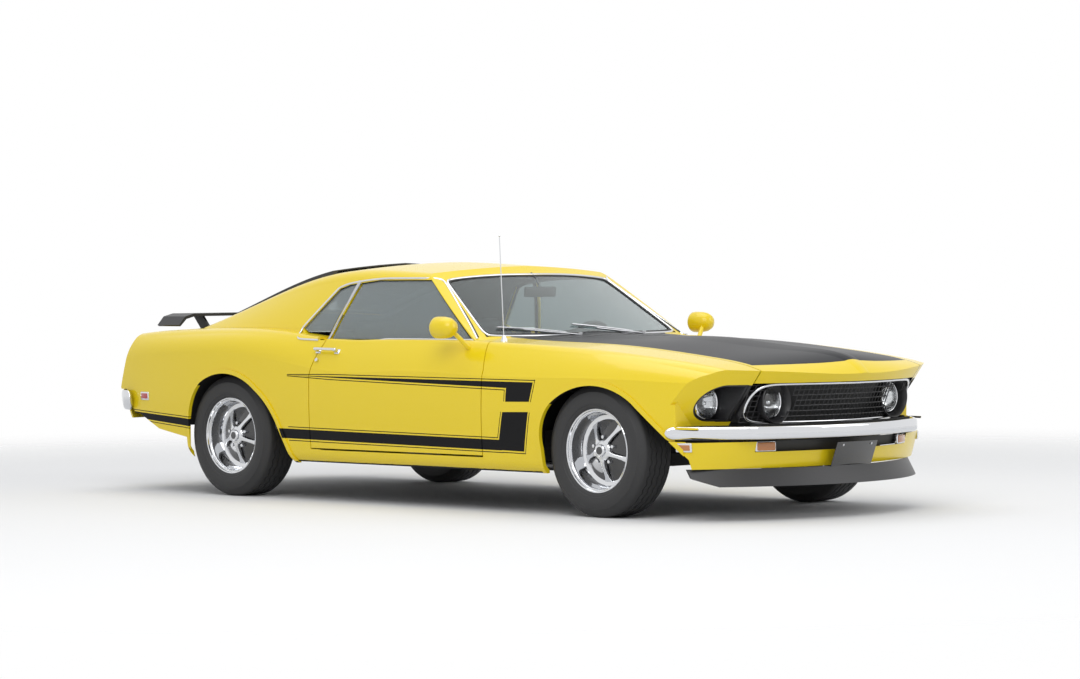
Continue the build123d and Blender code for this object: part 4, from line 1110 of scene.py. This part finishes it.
# %% Door mirrors: a bullet turned on the lathe, on a bent stem with a foot
MIRROR_AT = Vector((0.464, -0.958, 0.919))
BULLET = [
    (0.5, 71), (20, 68), (38, 56), (50, 32), (55, 0), (56, -35), (55, -54), (52, -59), (49, -57),
    (47, -48), (0.5, -48)
]
bullet = lathe(BULLET, 64)
bullet.data.transform(Matrix.Translation(MIRROR_AT) @ Matrix.Rotation(-math.pi / 2, 4, "Z"))
stem = tube(
    [(0.530, -0.822, 0.797), (0.522, -0.862, 0.826), (0.506, -0.905, 0.872), (0.490, -0.935, 0.905)],
    0.0120, sides=4
)
foot = ball((0.036, 0.020, 0.018), (0.530, -0.826, 0.798))
mirror = join_pieces([bullet, stem, foot], "door-mirror")
right_mirror, left_mirror = both_sides(
    mirror, "door-mirror", small_yellow, "yellow_paint", angle=50, bodies=BOTH_DOORS)
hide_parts("door_mirror_right")
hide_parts("door_mirror_left")
mirror_back = MIRROR_AT + Vector((-0.051, 0, 0))
glass = cylinder(0.047, 0.003, mirror_back, sides=48, turn=(0, math.pi / 2, 0))
both_sides(glass, "mirror-glass", chrome, "chrome_trim", bodies=BOTH_DOORS)
print("set both door mirrors")

# %% Inside mirror and aerial
inside_mirror = block((0.018, 0.230, 0.055), (0.185, 0, 1.090), rounding=0.008, turn=(0, 0.12, 0))
finish_piece(inside_mirror, "inside-mirror", "body", cabin_plastic, "black_trim")
inside_stem = tube([(0.185, 0, 1.110), (0.175, 0, 1.140), (0.120, 0, 1.190)], 0.006)
finish_piece(inside_stem, "inside-mirror-stem", "body", cabin_plastic, "black_trim")
aerial_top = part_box("antenna")[1][2]
clear_selection()
bpy.ops.mesh.primitive_cone_add(
    vertices=32, radius1=0.020, radius2=0.008, depth=0.030, location=(0.662, -0.736, 0.862)
)
finish_piece(bpy.context.object, "aerial-base", "body", chrome, "chrome_trim", angle=50)
tip = ball((0.005, 0.005, 0.005), (0.655, -0.757, aerial_top), segments=16)
finish_piece(tip, "aerial-tip", "body", chrome, "chrome_trim", angle=50)
print("set the inside mirror and the aerial")

# %% [markdown]
# ## Tail
# Three upright red lamps stand on each side of a satin black panel. Each gets a bright bezel and a
# thin rib down its middle. A round fuel cap sits between the two groups, and below are the back-up
# lamps and a blank plate. A bezel could be cut from a block, but a bar bent round the lamp is thinner.

# %% Lamp bezels, fuel cap, back-up lamps and rear plate
def touch_tail(y, z):
    """A point of the tail, and its normal."""
    return touch(("tail_panel", "valance_rear", "trunk_lid"), (-2.9, y, z), (1, 0, 0))


LAMP_WIDE, LAMP_LOW, LAMP_HIGH, LAMP_MIDDLE = 0.078, 0.628, 0.792, 0.710
# Each corner is cut back by these shares of its two sides, about 10 mm, so that the bezel bends there.
CUT_Y, CUT_Z = 0.14, 0.06
for k, y in enumerate((-0.492, -0.590, -0.688)):
    corners = [(y, LAMP_LOW), (y - LAMP_WIDE, LAMP_LOW), (y - LAMP_WIDE, LAMP_HIGH), (y, LAMP_HIGH)]
    points = []
    for (ya, za), (yb, zb) in zip(corners, corners[1:] + corners[:1]):
        points.append((ya + (yb - ya) * CUT_Y, za + (zb - za) * CUT_Z))
        points.append((yb + (ya - yb) * CUT_Y, zb + (za - zb) * CUT_Z))
    bezel_points = [touch_tail(py, pz)[0] + Vector((-0.010, 0, 0)) for py, pz in points]
    bezel = tube(bezel_points, 0.0055, closed=True, sides=3)
    both_sides(bezel, f"tail-bezel-{k + 1}", chrome, "chrome_trim", angle=60)
    rib_y = y - LAMP_WIDE / 2
    rib_at = (touch_tail(rib_y, LAMP_MIDDLE)[0].x - 0.013, rib_y, LAMP_MIDDLE)
    rib = block((0.006, 0.004, 0.150), rib_at, rounding=0.0015, turn=(0, 0.40, 0))
    both_sides(rib, f"tail-rib-{k + 1}", chrome, "chrome_trim")
CAP = [(64, 4), (64, -8), (60, -13), (48, -15), (44, -12), (30, -14), (0.5, -16), (0.5, 4)]
cap_at, cap_normal = touch_tail(0.0, 0.700)
cap = lathe(CAP, 64, close=True)
cap_turn = Vector((0, -1, 0)).rotation_difference(cap_normal).to_matrix().to_4x4()
cap.data.transform(Matrix.Translation(cap_at) @ cap_turn)
finish_piece(cap, "fuel-cap", "body", chrome, "chrome_trim", angle=40)
backup_at, backup_normal = touch_tail(-0.430, 0.520)
for kind, size, finish, slot in (
        ("bezel", (0.120, 0.012, 0.046), chrome, "chrome_trim"),
        ("lens", (0.106, 0.016, 0.032), lamp_glass, "tinted_glass")):
    lamp_piece = block(size, rounding=0.005)
    seat_on(lamp_piece, backup_at, backup_normal, along=(0, -1, 0))
    both_sides(lamp_piece, f"back-up-lamp-{kind}", finish, slot)
rear_plate_at, rear_plate_normal = touch_tail(0.0, 0.490)
rear_plate = block((0.300, 0.004, 0.150), (0, -0.008, -0.020), rounding=0.0015)
seat_on(rear_plate, rear_plate_at, rear_plate_normal, along=(0, -1, 0))
finish_piece(rear_plate, "plate-blank-rear", "body", gloss_black, "black_paint")
print("set the tail")

# %% [markdown]
# ## Seats
# The two front buckets and the rear bench are padded vinyl. A cushion starts as a rounded block, a
# little smaller than it ends up, and a cloth simulation with air pressure fills it. Pleats are
# pressed in after that, because the block's even grid is made again for the simulation.


# %% A padded cushion from one block
PLEATED_WIDE, PLEATED_LONG, PLEAT_DEPTH = 0.62, 0.86, 0.007
PIPING_AT, PIPING_LONG, PIPING_HALF, PIPING_DEPTH = 0.66, 0.92, 0.012, 0.009


def cushion(size, middle, lean, swell, pleats):
    """swell limits how far the air moves a point. pleats is how many run along the upper face."""
    clear_selection()
    pad = block(size, rounding=min(size) * 0.32)
    remesh = pad.modifiers.new("grid", "REMESH")
    remesh.mode, remesh.voxel_size = "VOXEL", 0.010
    bpy.ops.object.modifier_apply(modifier="grid")
    start = [v.co.copy() for v in pad.data.vertices]
    cloth = pad.modifiers.new("air", "CLOTH")
    cloth.settings.use_pressure = True
    cloth.settings.uniform_pressure_force = 4.0
    cloth.settings.effector_weights.gravity = 0.0
    for step in range(1, 16):
        bpy.context.scene.frame_set(step)
    bpy.ops.object.modifier_apply(modifier="air")
    bpy.context.scene.frame_set(1)
    for vertex, before in zip(pad.data.vertices, start):
        moved = vertex.co - before
        if moved.length > swell:
            vertex.co = before + moved.normalized() * swell
    smooth = pad.modifiers.new("finer", "SUBSURF")
    smooth.levels = 1
    bpy.ops.object.modifier_apply(modifier="finer")
    half_x, half_y, top = size[0] * 0.5, size[1] * 0.5, size[2] * 0.30
    for vertex in pad.data.vertices:
        across, along = vertex.co.y / half_y, vertex.co.x / half_x
        pleated = abs(across) < PLEATED_WIDE and abs(along) < PLEATED_LONG
        if pleats and vertex.co.z > top and pleated:
            groove = abs(math.sin(math.pi * (across / PLEATED_WIDE + 1) * 0.5 * pleats))
            vertex.co.z -= PLEAT_DEPTH * (1 - groove) ** 3
        ridge = min(abs(abs(across) - PIPING_AT) * half_y, PIPING_HALF) / PIPING_HALF
        if vertex.co.z > top and abs(along) < PIPING_LONG:
            vertex.co.z -= PIPING_DEPTH * (1 - ridge) ** 2
    pad.data.transform(Matrix.Translation(Vector(middle)) @ Matrix.Rotation(lean, 4, "Y"))
    return pad


# %% The pads, as kind, size, place, lean in degrees, swell and pleats. The front ones are made first
FRONT_SEAT_Y = -0.400
FRONT_PADS = [
    ("cushion", (0.46, 0.42, 0.10), (-0.190, FRONT_SEAT_Y, 0.395), -4, 0.012, 6),
    ("back", (0.46, 0.42, 0.10), (-0.545, FRONT_SEAT_Y, 0.615), -66, 0.012, 6),
    ("headrest", (0.14, 0.25, 0.07), (-0.668, FRONT_SEAT_Y, 0.870), -70, 0.006, 0),
]
REAR_PADS = [
    ("cushion", (0.32, 1.02, 0.09), (-0.900, 0, 0.470), 8, 0.008, 12),
    ("back", (0.36, 1.02, 0.08), (-1.075, 0, 0.650), -65, 0.008, 12),
]
front_pads = {}
for kind, size, middle, lean, swell, pleats in FRONT_PADS:
    front_pads[kind] = cushion(size, middle, math.radians(lean), swell, pleats)
for kind, pad in front_pads.items():
    for piece in both_sides(pad, f"front-seat-{kind}", vinyl, "black_trim", angle=60):
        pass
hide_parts("seats_front")


# %% [markdown]
# ## Seat frames
# The pads need something to stand on: two rails on the floor, two posts that hold the headrest and
# two plates where the back folds. They are plain, because little of them is seen.

# %% Front seat frames: floor rails, headrest posts and hinge plates
def at_seat(x, aside, z):
    return (x, FRONT_SEAT_Y + aside, z)


frame_parts = []
for aside in (-0.15, 0.15):
    frame_parts.append(block((0.42, 0.030, 0.060), at_seat(-0.200, aside, 0.300), rounding=0.006))
for aside in (-0.05, 0.05):
    frame_parts.append(tube([at_seat(-0.640, aside, 0.800), at_seat(-0.662, aside, 0.860)], 0.006))
for aside in (-0.216, 0.216):
    frame_parts.append(block((0.050, 0.010, 0.120), at_seat(-0.420, aside, 0.400), rounding=0.004))
seat_frame = join_pieces(frame_parts, "seat-frame")
both_sides(seat_frame, "front-seat-frame", polished_steel, "steel", angle=50)
print("set both front seat frames")

# %% Rear bench
rear_pads = {}
for kind, size, middle, lean, swell, pleats in REAR_PADS:
    rear_pads[kind] = cushion(size, middle, math.radians(lean), swell, pleats)
for kind, pad in rear_pads.items():
    rear_piece = finish_piece(pad, f"rear-seat-{kind}", "body", vinyl, "black_trim", angle=60)
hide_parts("seat_rear")
print("filled", len(front_pads) * 2 + len(rear_pads), "cushions")

# %% [markdown]
# ## The studio
# A pale floor, a white surround and three large soft lamps. The camera stands low at the right front
# corner and looks through a long lens, as for a catalogue picture.

# %% Floor, surround and lamps
clear_selection()
bpy.ops.mesh.primitive_plane_add(size=60, location=(0, 0, 0))
floor = bpy.context.object
floor.name = "floor"
floor_finish = start_finish("pale floor", (0.80, 0.80, 0.80), 0.8, grain=0.1, grain_scale=60.0)
floor_tree = floor_finish.node_tree
reach = floor_tree.nodes.new("ShaderNodeVectorMath")
reach.operation = "LENGTH"
floor_tree.links.new(floor_tree.nodes["Texture Coordinate"].outputs["Object"], reach.inputs[0])
fade = floor_tree.nodes.new("ShaderNodeMapRange")
fade.interpolation_type = "SMOOTHSTEP"
fade.inputs["From Min"].default_value = 3.5
fade.inputs["From Max"].default_value = 9.0
floor_tree.links.new(reach.outputs["Value"], fade.inputs["Value"])
clear = floor_tree.nodes.new("ShaderNodeBsdfTransparent")
fading = floor_tree.nodes.new("ShaderNodeMixShader")
floor_tree.links.new(fade.outputs["Result"], fading.inputs[0])
floor_tree.links.new(floor_tree.nodes["Principled BSDF"].outputs[0], fading.inputs[1])
floor_tree.links.new(clear.outputs[0], fading.inputs[2])
floor_tree.links.new(fading.outputs[0], floor_tree.nodes["Material Output"].inputs["Surface"])
floor.data.materials.append(floor_finish)
floor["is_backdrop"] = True

world = bpy.data.worlds.new("studio")
bpy.context.scene.world = world
world.use_nodes = True
sky = world.node_tree
backdrop = sky.nodes["Background"]
backdrop.inputs["Color"].default_value = (1, 1, 1, 1)
backdrop.inputs["Strength"].default_value = 1.0
soft = sky.nodes.new("ShaderNodeBackground")
soft.inputs["Color"].default_value = (0.95, 0.97, 1.0, 1)
soft.inputs["Strength"].default_value = 0.55
ray = sky.nodes.new("ShaderNodeLightPath")
seen = either(sky, ray.outputs["Is Camera Ray"], ray.outputs["Is Glossy Ray"])
seen = either(sky, seen, ray.outputs["Is Transmission Ray"])
choose = sky.nodes.new("ShaderNodeMixShader")
sky.links.new(seen, choose.inputs[0])
sky.links.new(soft.outputs[0], choose.inputs[1])
sky.links.new(backdrop.outputs[0], choose.inputs[2])
sky.links.new(choose.outputs[0], sky.nodes["World Output"].inputs[0])

LAMPS = [("key", (6, -7, 8), 7.0, 520), ("fill", (9, 6, 6), 6.0, 220), ("top", (-1, 0, 9), 8.0, 330)]
for name, where, size, power in LAMPS:
    clear_selection()
    bpy.ops.object.light_add(type="AREA", location=where)
    lamp = bpy.context.object
    lamp.name = name
    lamp.data.size = size
    lamp.data.energy = power
    lamp.rotation_euler = (Vector((0, 0, 0.5)) - Vector(where)).to_track_quat("-Z", "Y").to_euler()

# %% [markdown]
# ## Camera
# A camera looks along its own -Z, so its turn is built from three directions: right, up and ahead.
# Yaw turns it about the upright, pitch tips it down and roll tilts the picture a little.

# %% Camera: its place, and its yaw, pitch and roll
CAMERA_AT = (13.344, -13.206, 1.189)
yaw, pitch, roll = math.radians(-44.902), math.radians(-1.073), math.radians(-0.414)
level_look = Vector((math.sin(yaw), math.cos(yaw), 0))
look = level_look * math.cos(pitch) + Vector((0, 0, math.sin(pitch)))
level = Vector((math.cos(yaw), -math.sin(yaw), 0))
upright = level.cross(look)
right = level * math.cos(roll) + upright * math.sin(roll)
up = upright * math.cos(roll) - level * math.sin(roll)
camera_data = bpy.data.cameras.new("camera")
camera = bpy.data.objects.new("camera", camera_data)
bpy.context.scene.collection.objects.link(camera)
camera_data.lens = 118.1
camera_data.sensor_width = 36
camera_data.clip_end = 200
turn = Matrix((right, up, -look)).transposed().to_4x4()
camera.matrix_world = Matrix.Translation(CAMERA_AT) @ turn
bpy.context.scene.camera = camera
bpy.context.scene.view_settings.view_transform = "Standard"
print("set the camera and", len(LAMPS), "lamps")

# %% [markdown]
# ## Sizes
# The size of the dressed car, trim and all, is printed. The dressed car may stand out past its
# solids by a few millimetres only, where trim lies on them.

# %% Print the dressed car's size
low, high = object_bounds()
print("the dressed car measures", [round(b - a, 3) for a, b in zip(low, high)], "metres")
